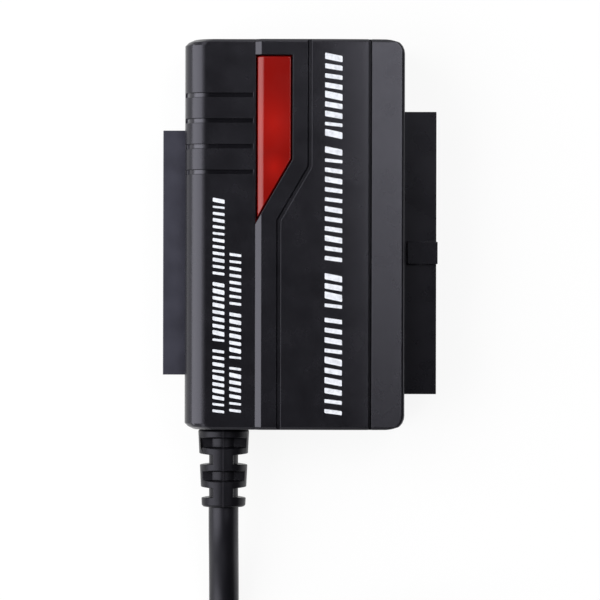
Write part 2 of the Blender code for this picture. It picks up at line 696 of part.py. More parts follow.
def build_port():
    face_y = BACK_Y - PORT_SETBACK
    inner_y = face_y - PORT_DEPTH
    port = box("sata_port", (PORT_X - PORT_WIDTH / 2, PORT_X + PORT_WIDTH / 2), (inner_y, face_y),
               (SEAM_HEIGHT - PORT_HEIGHT / 2, SEAM_HEIGHT + PORT_HEIGHT / 2), port_plastic)
    mouth = box("port_mouth", (PORT_X - PORT_CAVITY_WIDTH / 2, PORT_X + PORT_CAVITY_WIDTH / 2),
                (face_y - PORT_CAVITY_DEPTH, face_y + WALL),
                (SEAM_HEIGHT - PORT_CAVITY_HEIGHT / 2, SEAM_HEIGHT + PORT_CAVITY_HEIGHT / 2))
    tongue = box("port_tongue", (PORT_X - PORT_TONGUE_WIDTH / 2, PORT_X + PORT_TONGUE_WIDTH / 2),
                 (face_y - PORT_CAVITY_DEPTH - WALL / 2, face_y - PORT_SETBACK),
                 (SEAM_HEIGHT - PORT_TONGUE_THICKNESS / 2, SEAM_HEIGHT + PORT_TONGUE_THICKNESS / 2))
    leg_x = PORT_X - PORT_TONGUE_WIDTH / 2
    leg = box("port_leg", (leg_x, leg_x + PORT_TONGUE_THICKNESS),
              (face_y - PORT_CAVITY_DEPTH - WALL / 2, face_y - PORT_SETBACK),
              (SEAM_HEIGHT - PORT_TONGUE_THICKNESS, SEAM_HEIGHT + PORT_TONGUE_THICKNESS / 2))
    cut(port, mouth)
    fuse(port, tongue, leg)
    return port


# Circuit board and what is soldered on it

def build_board():
    board = box("circuit_board", (BOARD_LEFT_X, BOARD_RIGHT_X), (BOARD_FRONT_Y, BOARD_BACK_Y),
                (BOARD_BOTTOM, BOARD_TOP), board_material)
    for index, (x, y) in enumerate(POST_PLACES):
        hole = rod(f"board_hole_{index + 1}", PIN_RADIUS + CLEARANCE, (x, y, BOARD_BOTTOM - WALL),
                   (x, y, BOARD_TOP + WALL), segments=SMALL_ROUND_STEPS)
        cut(board, hole)
    return board


# Places on the board, from its left front corner
CAN_PLACES = ((0.00755, 0.0130), (0.02755, 0.0400))
CAN_RADIUS = 0.0020
CAN_HEIGHT = 0.0032
INDUCTOR_PLACE = (0.01505, 0.0055)
INDUCTOR_RADIUS = 0.0026
INDUCTOR_HEIGHT = 0.0028
LAMP_SETBACKS = (0.0151, 0.0229)
LAMP_WIDTH = 0.0028
LAMP_LENGTH = 0.0035
LAMP_HEIGHT = 0.0019
COMPONENTS = (
    ("bridge_chip", 0.01905, 0.0250, 0.0100, 0.0100, 0.0014),
    ("flash_chip", 0.02005, 0.0125, 0.0050, 0.0062, 0.0016),
    ("voltage_regulator", 0.00725, 0.0065, 0.0065, 0.0035, 0.0016),
    ("crystal", 0.00855, 0.0310, 0.0050, 0.0032, 0.0012),
    ("ceramic_capacitor_1", 0.00805, 0.0210, 0.0020, 0.0012, 0.0009),
    ("ceramic_capacitor_2", 0.00805, 0.0180, 0.0020, 0.0012, 0.0009),
    ("ceramic_capacitor_3", 0.02755, 0.0330, 0.0020, 0.0012, 0.0009),
)


def build_components():
    finishes = {"crystal": metal, "ceramic_capacitor_1": ceramic_material,
                "ceramic_capacitor_2": ceramic_material, "ceramic_capacitor_3": ceramic_material}
    low = BOARD_TOP + CLEARANCE
    for name, across, along, width, length, height in COMPONENTS:
        x = BOARD_LEFT_X + across
        y = BOARD_FRONT_Y + along
        box(name, (x - width / 2, x + width / 2), (y - length / 2, y + length / 2), (low, low + height),
            finishes.get(name, chip_material))
    for index, (across, along) in enumerate(CAN_PLACES):
        x = BOARD_LEFT_X + across
        y = BOARD_FRONT_Y + along
        rod(f"bulk_capacitor_{index + 1}", CAN_RADIUS, (x, y, low), (x, y, low + CAN_HEIGHT), metal)
    x = BOARD_LEFT_X + INDUCTOR_PLACE[0]
    y = BOARD_FRONT_Y + INDUCTOR_PLACE[1]
    rod("power_inductor", INDUCTOR_RADIUS, (x, y, low), (x, y, low + INDUCTOR_HEIGHT), chip_material)
    lamp_x = (WINDOW_LEFT_X + WINDOW_RIGHT_X) / 2
    for index, distance in enumerate(LAMP_SETBACKS):
        y = BACK_Y - distance
        box(f"indicator_lamp_{index + 1}", (lamp_x - LAMP_WIDTH / 2, lamp_x + LAMP_WIDTH / 2),
            (y - LAMP_LENGTH / 2, y + LAMP_LENGTH / 2), (low, low + LAMP_HEIGHT), lamp_material)


# Strain relief: turned, slotted on alternate faces round a plain core

def turned(name, profile, material=None, segments=32):
    """Revolve a profile of (radius, distance along -Y) round the cord's axis."""
    mesh = bpy.data.meshes.new(name)
    points = [(radius, 0.0, -along) for radius, along in profile]
    edges = [(i, i + 1) for i in range(len(points) - 1)]
    mesh.from_pydata(points, edges, [])
    thing = place(name, mesh, material)
    thing.location = (CORD_X, RELIEF_START_Y, SEAM_HEIGHT)
    thing.rotation_euler = (math.radians(-90), 0.0, 0.0)
    screw = thing.modifiers.new("turn", "SCREW")
    screw.steps = segments
    screw.render_steps = segments
    screw.use_merge_vertices = True
    screw.merge_threshold = 0.00001
    screw.use_smooth_shade = True
    return thing


def relief_slot(index):
    """Two wedges that leave a web across the axis, upright on even slots and level on odd ones."""
    y = RELIEF_START_Y - RELIEF_FIRST_SLOT - index * RELIEF_SLOT_PITCH
    inner = RELIEF_WEB / 2
    outer = RELIEF_ROOT_DIAMETER
    bm = bmesh.new()
    for side in (-1, 1):
        rings = []
        for distance, flare in ((inner, 0.0), (outer, RELIEF_SLOT_FLARE * 2)):
            half = RELIEF_SLOT_WIDTH / 2 + flare
            corners = ((-outer, -half), (outer, -half), (outer, half), (-outer, half))
            if index % 2 == 0:
                ring = [(CORD_X + a, y + b, SEAM_HEIGHT + side * distance) for a, b in corners]
            else:
                ring = [(CORD_X + side * distance, y + b, SEAM_HEIGHT + a) for a, b in corners]
            rings.append(ring)
        add_loft(bm, rings)
    name = f"relief_slot_{index + 1}"
    return place(name, finish_mesh(name, bm))


def build_strain_relief():
    root = RELIEF_ROOT_DIAMETER / 2
    end = RELIEF_END_DIAMETER / 2
    neck = RELIEF_NECK_DIAMETER / 2
    flange = RELIEF_FLANGE_DIAMETER / 2
    neck_start = RELIEF_FLANGE_Y - RELIEF_START_Y
    flange_start = neck_start + RELIEF_FLANGE_THICKNESS
    fillet = RELIEF_FILLET
    profile = [(0.0, -flange_start), (flange, -flange_start), (flange, -neck_start), (neck, -neck_start),
               (neck, 0.0), (root - fillet, 0.0), (root, fillet), (end, RELIEF_LENGTH - fillet),
               (end - fillet, RELIEF_LENGTH), (0.0, RELIEF_LENGTH)]
    relief = turned("strain_relief", profile, cord_material)
    core = rod("relief_core", RELIEF_CORE_DIAMETER / 2, (CORD_X, RELIEF_START_Y + CLEARANCE, SEAM_HEIGHT),
               (CORD_X, RELIEF_END_Y + 2 * CLEARANCE, SEAM_HEIGHT))
    cut(relief, *[relief_slot(index) for index in range(RELIEF_SLOT_COUNT)])
    fuse(relief, core)
    return relief


# Cord: tubes on a smooth curve through chosen points, a ring for the coil, a tie and the plug

def smooth_points(route, spacing):
    """Points of a Catmull-Rom curve through the route, about a spacing apart."""
    points = [Vector(point) for point in route]
    padded = [2 * points[0] - points[1]] + points + [2 * points[-1] - points[-2]]
    result = []
    for i in range(len(points) - 1):
        before, start, end, after = padded[i:i + 4]
        steps = max(1, round((end - start).length / spacing))
        for step in range(steps):
            t = step / steps
            result.append(0.5 * (2 * start + (end - before) * t
                                 + (2 * before - 5 * start + 4 * end - after) * t ** 2
                                 + (3 * start - before - 3 * end + after) * t ** 3))
    result.append(points[-1])
    return result


def tube(name, route, diameter, material, spacing, resolution=2):
    curve = bpy.data.curves.new(name, "CURVE")
    curve.dimensions = "3D"
    curve.bevel_depth = diameter / 2
    curve.bevel_resolution = resolution
    curve.use_fill_caps = True
    points = smooth_points(route, spacing)
    spline = curve.splines.new("POLY")
    spline.points.add(len(points) - 1)
    for target, point in zip(spline.points, points):
        target.co = (*point, 1.0)
    curve.materials.append(material)
    thing = bpy.data.objects.new(name, curve)
    parts.objects.link(thing)
    return thing


def build_wires():
    """Nine wires fan out from the cord's end to the edge of the board."""
    start_y = RELIEF_INNER_Y + CLEARANCE
    end_y = BOARD_FRONT_Y + WIRE_LANDING
    first_x = BOARD_LEFT_X + TAIL_REACH + WIRE_DIAMETER / 2
    height = BOARD_TOP + CLEARANCE + WIRE_DIAMETER / 2
    around = WIRE_COUNT - 1
    spots = [(0.0, 0.0)] + arc((0.0, 0.0), WIRE_RING, 180 / around / 2, 360 + 180 / around / 2, around)[:-1]
    for index, (across, up) in enumerate(sorted(spots)):
        start = Vector((CORD_X + across, start_y, SEAM_HEIGHT + up))
        end = Vector((first_x + index * WIRE_PITCH, end_y, height))
        over_edge = end - Vector((0.0, WIRE_LANDING + WIRE_DIAMETER / 2, 0.0))
        middle = (start + over_edge) / 2
        tube(f"inner_wire_{index + 1}", (start, middle, over_edge, end), WIRE_DIAMETER, wire_material,
             spacing=WIRE_DIAMETER * 3)


LEAD_ROUTE = (
    (CORD_X, RELIEF_END_Y - CLEARANCE, SEAM_HEIGHT),
    (CORD_X, RELIEF_END_Y - CLEARANCE - CORD_RADIUS, SEAM_HEIGHT),
    (CORD_X, -0.0550, 0.0067),
    (CORD_X, -0.0590, 0.0050),
    (CORD_X, -0.0640, 0.0034),
    (CORD_X, -0.0690, 0.0028),
    (CORD_X, -0.0740, 0.0027),
    (CORD_X, -0.0845, 0.0027),
)
TAIL_ROUTE = (
    (-0.0016, -0.0736, 0.00805),
    (-0.0060, -0.0744, 0.0084),
    (-0.0105, -0.0758, 0.0086),
    (-0.0155, -0.0780, 0.0086),
    (-0.0200, -0.0813, 0.0080),
    (-0.0236, -0.08575, 0.0066),
    (-0.0259, -0.0913, 0.0050),
    (-0.0267, -0.09725, 0.0041),
    (PLUG_X, PLUG_BACK_Y + CLEARANCE, PLUG_BODY_HEIGHT / 2),
)


def coil_profile(growth):
    """The coil's section: two turns side by side on the surface and one on top between them."""
    r = CORD_RADIUS
    rise = math.sqrt(CORD_DIAMETER ** 2 - r ** 2)
    top = (COIL_MEAN_RADIUS, r + rise)
    outline = arc(top, r + growth, 90, 30, 2)
    outline += arc((COIL_MEAN_RADIUS + r, r), r + growth, 30, -90, 3)
    outline += arc((COIL_MEAN_RADIUS - r, r), r + growth, 270, 150, 3)
    outline += arc(top, r + growth, 150, 90, 2)[:-1]
    return outline


def tie_prism(name, growth, width, material=None):
    """A block across the coil, of the coil's section grown on every side."""
    x, y = COIL_CENTRE
    section = coil_profile(growth)
    rings = [[(x + side * width / 2, y - radius, z) for radius, z in section] for side in (-1, 1)]
    return loft(name, rings, material)


def build_coil():
    mesh = bpy.data.meshes.new("cord_coil")
    points = [(radius, 0.0, z) for radius, z in coil_profile(0.0)]
    edges = [(i, (i + 1) % len(points)) for i in range(len(points))]
    mesh.from_pydata(points, edges, [])
    coil = place("cord_coil", mesh, cord_material)
    coil.location = (*COIL_CENTRE, 0.0)
    screw = coil.modifiers.new("turn", "SCREW")
    screw.steps = COIL_STEPS
    screw.render_steps = COIL_STEPS
    screw.use_merge_vertices = True
    screw.merge_threshold = 0.00001
    x, y = COIL_CENTRE
    half = TIE_WIDTH / 2 + CLEARANCE
    cut(coil, box("tie_passage", (x - half, x + half), (y - 2 * COIL_MEAN_RADIUS, y),
                  (-CORD_RADIUS, TIE_THICKNESS + CLEARANCE)))


def build_tie():
    """A strap round the coil, flat where it passes under it."""
    gap = 2 * CLEARANCE
    reach = 2 * COIL_MEAN_RADIUS
    x, y = COIL_CENTRE
    tie = tie_prism("coil_tie", gap + TIE_THICKNESS, TIE_WIDTH, tie_material)
    hollow = tie_prism("tie_hollow", gap, TIE_WIDTH * 2)
    keep(hollow, box("above_strap", (x - reach, x + reach), (y - reach, y + reach), (TIE_THICKNESS, reach)))
    keep(tie, box("above_surface", (x - reach, x + reach), (y - reach, y + reach), (0.0, reach)))
    cut(tie, hollow)


# Plug at the far end of the cord

def plug_ring(width, height, radius, along):
    middle = PLUG_BODY_HEIGHT / 2
    outline = rounded_rectangle(width, height, radius, 4)
    return [(PLUG_X + x, PLUG_BACK_Y - along, middle + z) for x, z in outline]


def build_plug():
    boot = PLUG_BOOT_DIAMETER
    width = PLUG_BODY_WIDTH
    height = PLUG_BODY_HEIGHT
    bevel = PLUG_BODY_BEVEL
    front = PLUG_BOOT_LENGTH + PLUG_BODY_LENGTH
    rings = [plug_ring(boot, boot, (boot - PLUG_BOOT_FLAT) / 2, 0.0),
             plug_ring(boot + bevel, boot + bevel, boot / 2, PLUG_BOOT_LENGTH),
             plug_ring(width - 2 * bevel, height - bevel, PLUG_BODY_RADIUS, PLUG_BOOT_LENGTH),
             plug_ring(width, height, PLUG_BODY_RADIUS, PLUG_BOOT_LENGTH + bevel),
             plug_ring(width, height, PLUG_BODY_RADIUS, front - bevel),
             plug_ring(width - bevel, height - bevel, PLUG_BODY_RADIUS - bevel / 2, front)]
    body = loft("plug_body", rings, cord_material)
    gap = 2 * CLEARANCE
    pocket = loft("plug_pocket", [
        plug_ring(PLUG_SHELL_WIDTH + gap, PLUG_SHELL_HEIGHT + gap, PLUG_SHELL_RADIUS + gap / 2, along)
        for along in (front - PLUG_SHELL_SEAT - CLEARANCE, front + WALL)])
    cut(body, pocket)
    build_plug_shell(front)


def build_plug_shell(front):
    inner_width = PLUG_SHELL_WIDTH - 2 * PLUG_SHELL_WALL
    inner_height = PLUG_SHELL_HEIGHT - 2 * PLUG_SHELL_WALL
    start = front - PLUG_SHELL_SEAT
    end = front + PLUG_SHELL_REACH
    shell = loft("plug_shell", [plug_ring(PLUG_SHELL_WIDTH, PLUG_SHELL_HEIGHT, PLUG_SHELL_RADIUS, along)
                                for along in (start, end)], metal)
    bore = loft("plug_shell_bore", [
        plug_ring(inner_width, inner_height, PLUG_SHELL_RADIUS - PLUG_SHELL_WALL, along)
        for along in (start - WALL, end + WALL)])
    cut(shell, bore)
    middle = PLUG_BODY_HEIGHT / 2
    hole_y = PLUG_BACK_Y - front - PLUG_WINDOW_SETBACK
    for side in (-1, 1):
        hole_x = PLUG_X + side * PLUG_WINDOW_SPREAD / 2
        half = PLUG_WINDOW_SIZE / 2
        hole = box(f"latch_hole_{side + 2}", (hole_x - half, hole_x + half), (hole_y - half, hole_y + half),
                   (middle - PLUG_BODY_HEIGHT, middle + PLUG_BODY_HEIGHT))
        cut(shell, hole)
    low = middle - inner_height / 2 + CLEARANCE
    half_width = inner_width / 2 - CLEARANCE
    y_mouth = PLUG_BACK_Y - end
    y_root = PLUG_BACK_Y - start
    tongue = box("plug_insulator", (PLUG_X - half_width, PLUG_X + half_width),
                 (y_mouth + PLUG_TONGUE_SETBACK, y_root), (low, low + PLUG_TONGUE_THICKNESS),
                 insulator_material)
    root = box("plug_insulator_root", (PLUG_X - half_width, PLUG_X + half_width),
               (y_root - PLUG_SHELL_SEAT, y_root), (low, middle + inner_height / 2 - CLEARANCE))
    fuse(tongue, root)


build_top_shell()
build_bottom_shell()
for number, (screw_x, screw_y) in enumerate(BOSS_PLACES):
    build_screw(number, screw_x, screw_y)
build_window()
build_wide_socket()
build_narrow_socket()
build_port()
build_board()
build_components()
build_strain_relief()
build_wires()
tube("cord_lead", LEAD_ROUTE, CORD_DIAMETER, cord_material, spacing=2.2 * CORD_DIAMETER, resolution=4)
tube("cord_tail", TAIL_ROUTE, CORD_DIAMETER, cord_material, spacing=2.2 * CORD_DIAMETER, resolution=4)
build_coil()
build_tie()
build_plug()
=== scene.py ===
import math

import bmesh
import bpy
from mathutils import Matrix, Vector


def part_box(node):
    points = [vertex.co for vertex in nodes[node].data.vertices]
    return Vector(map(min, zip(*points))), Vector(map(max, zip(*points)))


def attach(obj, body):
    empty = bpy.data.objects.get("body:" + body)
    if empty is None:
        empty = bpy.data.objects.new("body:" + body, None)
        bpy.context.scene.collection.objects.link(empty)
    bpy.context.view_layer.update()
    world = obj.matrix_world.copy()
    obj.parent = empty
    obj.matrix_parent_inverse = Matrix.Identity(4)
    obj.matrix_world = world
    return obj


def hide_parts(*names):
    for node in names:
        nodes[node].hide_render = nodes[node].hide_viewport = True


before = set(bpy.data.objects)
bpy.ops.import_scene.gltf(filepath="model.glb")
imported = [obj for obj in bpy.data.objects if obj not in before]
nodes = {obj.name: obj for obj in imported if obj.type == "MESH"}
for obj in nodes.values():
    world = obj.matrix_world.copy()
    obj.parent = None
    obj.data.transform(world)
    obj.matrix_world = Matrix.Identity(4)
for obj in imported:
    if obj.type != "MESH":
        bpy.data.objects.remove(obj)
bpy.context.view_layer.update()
scene = bpy.context.scene
mm = 0.001


def linkObject(name, data):
    thing = bpy.data.objects.new(name, data)
    scene.collection.objects.link(thing)
    return thing


# Camera, straight down on the housing, a touch turned as in the photograph
cameraSettings = {"height": 0.600, "y": -0.0117, "lens": 196.5, "sensor": 36.0, "turn": 0.12, "clip": (0.05, 10.0)}


def makeCamera():
    data = bpy.data.cameras.new("camera")
    data.lens = cameraSettings["lens"]
    data.sensor_width = cameraSettings["sensor"]
    data.clip_start, data.clip_end = cameraSettings["clip"]
    camera = linkObject("camera", data)
    camera.location = (0.0, cameraSettings["y"], cameraSettings["height"])
    camera.rotation_euler = (0.0, 0.0, math.radians(cameraSettings["turn"]))
    scene.camera = camera


makeCamera()
print("camera done")


# Node helpers. A value for a socket is the output of another node, which gets linked, or a plain number or color.

def wire(tree, value, socket):
    if isinstance(value, bpy.types.NodeSocket):
        tree.links.new(value, socket)
    else:
        socket.default_value = value


def addNode(tree, kind, **settings):
    node = tree.nodes.new(kind)
    for name, value in settings.items():
        setattr(node, name, value)
    return node


def addMath(tree, operation, *values):
    node = addNode(tree, "ShaderNodeMath", operation=operation)
    for value, socket in zip(values, node.inputs):
        wire(tree, value, socket)
    return node.outputs["Value"]


# places of the two sources and the result among the sockets of a mix node
mixSockets = {"FLOAT": (2, 3, 0), "RGBA": (6, 7, 2)}


def addMix(tree, kind, factor, first, second, blend="MIX"):
    node = addNode(tree, "ShaderNodeMix", data_type=kind, blend_type=blend)
    firstPlace, secondPlace, result = mixSockets[kind]
    wire(tree, factor, node.inputs["Factor"])
    wire(tree, first, node.inputs[firstPlace])
    wire(tree, second, node.inputs[secondPlace])
    return node.outputs[result]


def objectPlace(tree):
    return addNode(tree, "ShaderNodeTexCoord").outputs["Object"]


def addTexture(tree, kind, scale, stretch=None, **settings):
    texture = addNode(tree, kind, **settings)
    texture.inputs["Scale"].default_value = scale
    place = objectPlace(tree)
    if stretch is not None:
        mapping = addNode(tree, "ShaderNodeMapping")
        mapping.inputs["Scale"].default_value = stretch
        tree.links.new(place, mapping.inputs["Vector"])
        place = mapping.outputs["Vector"]
    tree.links.new(place, texture.inputs["Vector"])
    return texture


def addNoise(tree, scale, detail=3.0, stretch=None):
    noise = addTexture(tree, "ShaderNodeTexNoise", scale, stretch)
    noise.inputs["Detail"].default_value = detail
    return noise.outputs["Fac"]


def objectAxes(tree):
    split = addNode(tree, "ShaderNodeSeparateXYZ")
    tree.links.new(objectPlace(tree), split.inputs["Vector"])
    return split.outputs["X"], split.outputs["Y"], split.outputs["Z"]


def addRange(tree, source, low, high, fromLow=0.0, fromHigh=1.0):
    remap = addNode(tree, "ShaderNodeMapRange")
    remap.inputs["From Min"].default_value = fromLow
    remap.inputs["From Max"].default_value = fromHigh
    remap.inputs["To Min"].default_value = low
    remap.inputs["To Max"].default_value = high
    tree.links.new(source, remap.inputs["Value"])
    return remap.outputs["Result"]


def addRamp(tree, source, stops):
    ramp = addNode(tree, "ShaderNodeValToRGB")
    ramp.color_ramp.elements[0].position = stops[0][0]
    ramp.color_ramp.elements[0].color = (*stops[0][1], 1.0)
    ramp.color_ramp.elements[1].position = stops[-1][0]
    ramp.color_ramp.elements[1].color = (*stops[-1][1], 1.0)
    for position, color in stops[1:-1]:
        element = ramp.color_ramp.elements.new(position)
        element.color = (*color, 1.0)
    tree.links.new(source, ramp.inputs["Fac"])
    return ramp.outputs["Color"]


def addBump(tree, shader, height, strength, distance, normal=None):
    # distance in millimetres; a normal from another bump lies under this one
    bump = addNode(tree, "ShaderNodeBump")
    bump.inputs["Strength"].default_value = strength
    bump.inputs["Distance"].default_value = distance * mm
    tree.links.new(height, bump.inputs["Height"])
    if normal is not None:
        tree.links.new(normal, bump.inputs["Normal"])
    tree.links.new(bump.outputs["Normal"], shader.inputs["Normal"])
    return bump.outputs["Normal"]


def startMaterial(name, color, roughness, metallic=0.0, specular=0.5):
    material = bpy.data.materials.new(name)
    material.use_nodes = True
    shader = material.node_tree.nodes["Principled BSDF"]
    shader.inputs["Base Color"].default_value = (*color, 1.0)
    shader.inputs["Roughness"].default_value = roughness
    shader.inputs["Metallic"].default_value = metallic
    shader.inputs["Specular IOR Level"].default_value = specular
    return material, material.node_tree, shader


# Moulded plastics: fine spark-eroded grain over a slow unevenness in gloss and tone. Grain is a texture scale,
# depth is in millimetres.

plasticSettings = {"tint": (0.87, 0.86, 1.0, 1.0), "patches": 220.0, "glossSpread": 0.05, "tones": (0.85, 1.18),
                   "toneRange": (0.3, 0.7), "grainStrength": 0.35}
plastics = {
    "housingBlack": {"color": (0.0036, 0.0034, 0.0048), "roughness": 0.26, "grain": 9000.0, "depth": 0.012},
    "socketBlack": {"color": (0.0029, 0.0027, 0.0040), "roughness": 0.28, "grain": 7000.0, "depth": 0.010,
                    "specular": 0.27},
    "socketGrey": {"color": (0.0280, 0.0280, 0.0400), "roughness": 0.34, "grain": 7000.0, "depth": 0.010},
    "portBlack": {"color": (0.0120, 0.0120, 0.0130), "roughness": 0.45, "grain": 7000.0, "depth": 0.010},
    "chipBlack": {"color": (0.0160, 0.0160, 0.0165), "roughness": 0.62, "grain": 9000.0, "depth": 0.020},
    "blueInsulator": {"color": (0.010, 0.080, 0.420), "roughness": 0.42, "grain": 7000.0, "depth": 0.008},
    "ceramicBrown": {"color": (0.300, 0.205, 0.115), "roughness": 0.50, "grain": 6000.0, "depth": 0.010},
    "lampResin": {"color": (0.800, 0.760, 0.600), "roughness": 0.25, "grain": 3000.0, "depth": 0.004},
    "reliefBlack": {"color": (0.0030, 0.0028, 0.0040), "roughness": 0.38, "grain": 6000.0, "depth": 0.015,
                    "specular": 0.24},
    "plugBlack": {"color": (0.0045, 0.0042, 0.0058), "roughness": 0.36, "grain": 7000.0, "depth": 0.012,
                  "specular": 0.40},
}


def mouldedPlastic(name, color, roughness, grain, depth, specular=0.5):
    material, tree, shader = startMaterial(name, color, roughness, specular=specular)
    shader.inputs["Specular Tint"].default_value = plasticSettings["tint"]
    patches = addNoise(tree, plasticSettings["patches"])
    spread = plasticSettings["glossSpread"]
    wire(tree, addRange(tree, patches, roughness - spread, roughness + spread), shader.inputs["Roughness"])
    dark, light = (tuple(c * tone for c in color) for tone in plasticSettings["tones"])
    darkest, lightest = plasticSettings["toneRange"]
    wire(tree, addRamp(tree, patches, [(darkest, dark), (lightest, light)]), shader.inputs["Base Color"])
    addBump(tree, shader, addNoise(tree, grain, 2.0), plasticSettings["grainStrength"], depth)
    return material


# Strain relief: a thin raised line where the two halves of the mould met, laid over the grain

partingLine = {"x": -13.75, "reach": 0.09, "strength": 0.8, "height": 0.05, "color": (0.020, 0.019, 0.023, 1.0)}


def addPartingLine(material):
    tree = material.node_tree
    shader = tree.nodes["Principled BSDF"]
    grain = shader.inputs["Normal"].links[0].from_socket
    around = shader.inputs["Base Color"].links[0].from_socket
    x = objectAxes(tree)[0]
    line = addMath(tree, "COMPARE", x, partingLine["x"] * mm, partingLine["reach"] * mm)
    addBump(tree, shader, line, partingLine["strength"], partingLine["height"], grain)
    wire(tree, addMix(tree, "RGBA", line, around, partingLine["color"]), shader.inputs["Base Color"])


# Grooves round the barrel, in millimetres: where they lie, how much wider and deeper than packed they are shown,
# and the gloss of their floors, dull on the barrel's top and polished where they run down its flank

bandSettings = {
    "first": 24.9, "pitch": 4.58, "count": 4, "half": 0.275, "depth": 0.35, "wider": 0.14, "deeper": 0.15,
    "inside": -7.0, "above": 8.5, "radius": 4.0, "top": 15.4, "rim": 0.1, "touch": 0.003, "floorTouch": 0.02,
    "dull": 0.16, "polished": 0.68, "turn": (-17.2, -16.3),
}


def addGrooveFloors(material):
    tree = material.node_tree
    gloss = tree.nodes["Principled BSDF"].inputs["Specular IOR Level"]
    x, y, z = objectAxes(tree)
    first, pitch, beyond = bandSettings["first"], bandSettings["pitch"], bandSettings["count"] - 0.5
    number = addRange(tree, y, beyond, -0.5, (first - beyond * pitch) * mm, (first + 0.5 * pitch) * mm)
    reach = (bandSettings["half"] + bandSettings["wider"]) / pitch
    inBand = addMath(tree, "LESS_THAN", addMath(tree, "PINGPONG", number, 0.5), reach)
    onBarrel = addMath(tree, "LESS_THAN", x, bandSettings["inside"] * mm)
    belowRim = addMath(tree, "LESS_THAN", z, (bandSettings["top"] - bandSettings["rim"]) * mm)
    floors = addMath(tree, "MULTIPLY", addMath(tree, "MULTIPLY", inBand, onBarrel), belowRim)
    turn = [edge * mm for edge in bandSettings["turn"]]
    floorGloss = addRange(tree, x, bandSettings["polished"], bandSettings["dull"], *turn)
    wire(tree, addMix(tree, "FLOAT", floors, gloss.default_value, floorGloss), gloss)


# Cord: soft jacket with a slow waviness from the strands inside and a fine matt skin

jacketSettings = {"color": (0.0038, 0.0036, 0.0052), "roughness": 0.38, "specular": 0.34, "gloss": (-0.06, 0.08),
                  "wave": {"scale": 420.0, "strength": 0.25, "height": 0.05},
                  "skin": {"scale": 6500.0, "strength": 0.3, "height": 0.012}}


def cordJacket(name):
    roughness, wave, skin = (jacketSettings[key] for key in ("roughness", "wave", "skin"))
    material, tree, shader = startMaterial(name, jacketSettings["color"], roughness,
                                           specular=jacketSettings["specular"])
    shader.inputs["Specular Tint"].default_value = plasticSettings["tint"]
    strands = addNoise(tree, wave["scale"], 2.0)
    low, high = jacketSettings["gloss"]
    wire(tree, addRange(tree, strands, roughness + low, roughness + high), shader.inputs["Roughness"])
    under = addBump(tree, shader, strands, wave["strength"], wave["height"])
    addBump(tree, shader, addNoise(tree, skin["scale"], 2.0), skin["strength"], skin["height"], under)
    return material


# Window: deep red moulding with painted light in its colour: a painted glow over the two lamps below it, and
# painted light growing towards the barrel. Reaches are in millimetres.

lensSettings = {"color": (0.26, 0.006, 0.004), "roughness": 0.16, "specular": 0.37,
                "dark": (0.195, 0.0032, 0.002), "lit": (0.34, 0.0060, 0.003), "paintedEdgeLight": 0.30,
                "lamps": {"indicator_lamp_1": 9.0, "indicator_lamp_2": 5.0}, "squash": 0.75,
                "flow": 160.0, "gloss": (0.10, 0.24), "strength": 0.15, "height": 0.03}


# painted glow: a round, lighter patch of the window's colour over one lamp, fading out at the reach
def paintedLampGlow(tree, nodeName, reach):
    low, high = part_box(nodeName)
    middle = (low + high) / 2
    mapping = addNode(tree, "ShaderNodeMapping", vector_type="TEXTURE")
    mapping.inputs["Location"].default_value = (middle.x, middle.y, 0.0)
    mapping.inputs["Scale"].default_value = (reach * lensSettings["squash"] * mm, reach * mm, 1.0)
    tree.links.new(objectPlace(tree), mapping.inputs["Vector"])
    glow = addNode(tree, "ShaderNodeTexGradient", gradient_type="QUADRATIC_SPHERE")
    tree.links.new(mapping.outputs["Vector"], glow.inputs["Vector"])
    return glow.outputs["Fac"]


def redLens(name):
    material, tree, shader = startMaterial(name, lensSettings["color"], lensSettings["roughness"],
                                           specular=lensSettings["specular"])
    low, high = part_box("indicator_window")
    # painted light in the base colour: the lamps' painted glow, and lighter towards the barrel's side
    paintedGlows = [paintedLampGlow(tree, nodeName, reach) for nodeName, reach in lensSettings["lamps"].items()]
    edge = addRange(tree, objectAxes(tree)[0], lensSettings["paintedEdgeLight"], 0.0, low.x, high.x)
    lit = addMath(tree, "ADD", addMath(tree, "MAXIMUM", *paintedGlows), edge)
    stops = [(0.0, lensSettings["dark"]), (1.0, lensSettings["lit"])]
    wire(tree, addRamp(tree, lit, stops), shader.inputs["Base Color"])
    flow = addNoise(tree, lensSettings["flow"], 2.0)
    wire(tree, addRange(tree, flow, *lensSettings["gloss"]), shader.inputs["Roughness"])
    addBump(tree, shader, flow, lensSettings["strength"], lensSettings["height"])
    return material


# Bare metals, drawn: fine scratches along one way and a little tarnish

metalSettings = {"scratches": 1500.0, "tarnish": 300.0, "gloss": (-0.07, 0.12), "dull": 0.8,
                 "tarnishRange": (0.35, 0.6), "strength": 0.12, "height": 0.006}
metals = {
    "plateMetal": {"color": (0.62, 0.61, 0.59), "roughness": 0.24, "stretch": (1.0, 0.04, 1.0)},
    "screwMetal": {"color": (0.42, 0.42, 0.43), "roughness": 0.30, "stretch": (1.0, 1.0, 0.1)},
    "contactGold": {"color": (0.80, 0.56, 0.22), "roughness": 0.25, "stretch": (0.1, 1.0, 1.0)},
}


def brightMetal(name, color, roughness, stretch):
    material, tree, shader = startMaterial(name, color, roughness, metallic=1.0)
    scratch = addNoise(tree, metalSettings["scratches"], 4.0, stretch)
    tarnish = addNoise(tree, metalSettings["tarnish"])
    low, high = metalSettings["gloss"]
    wire(tree, addRange(tree, scratch, roughness + low, roughness + high), shader.inputs["Roughness"])
    dull = tuple(c * metalSettings["dull"] for c in color)
    dullest, cleanest = metalSettings["tarnishRange"]
    wire(tree, addRamp(tree, tarnish, [(dullest, dull), (cleanest, color)]), shader.inputs["Base Color"])
    addBump(tree, shader, scratch, metalSettings["strength"], metalSettings["height"])
    return material


# Circuit board: green mask over patches of tracks that run one way or the other, and the weave of the glass cloth

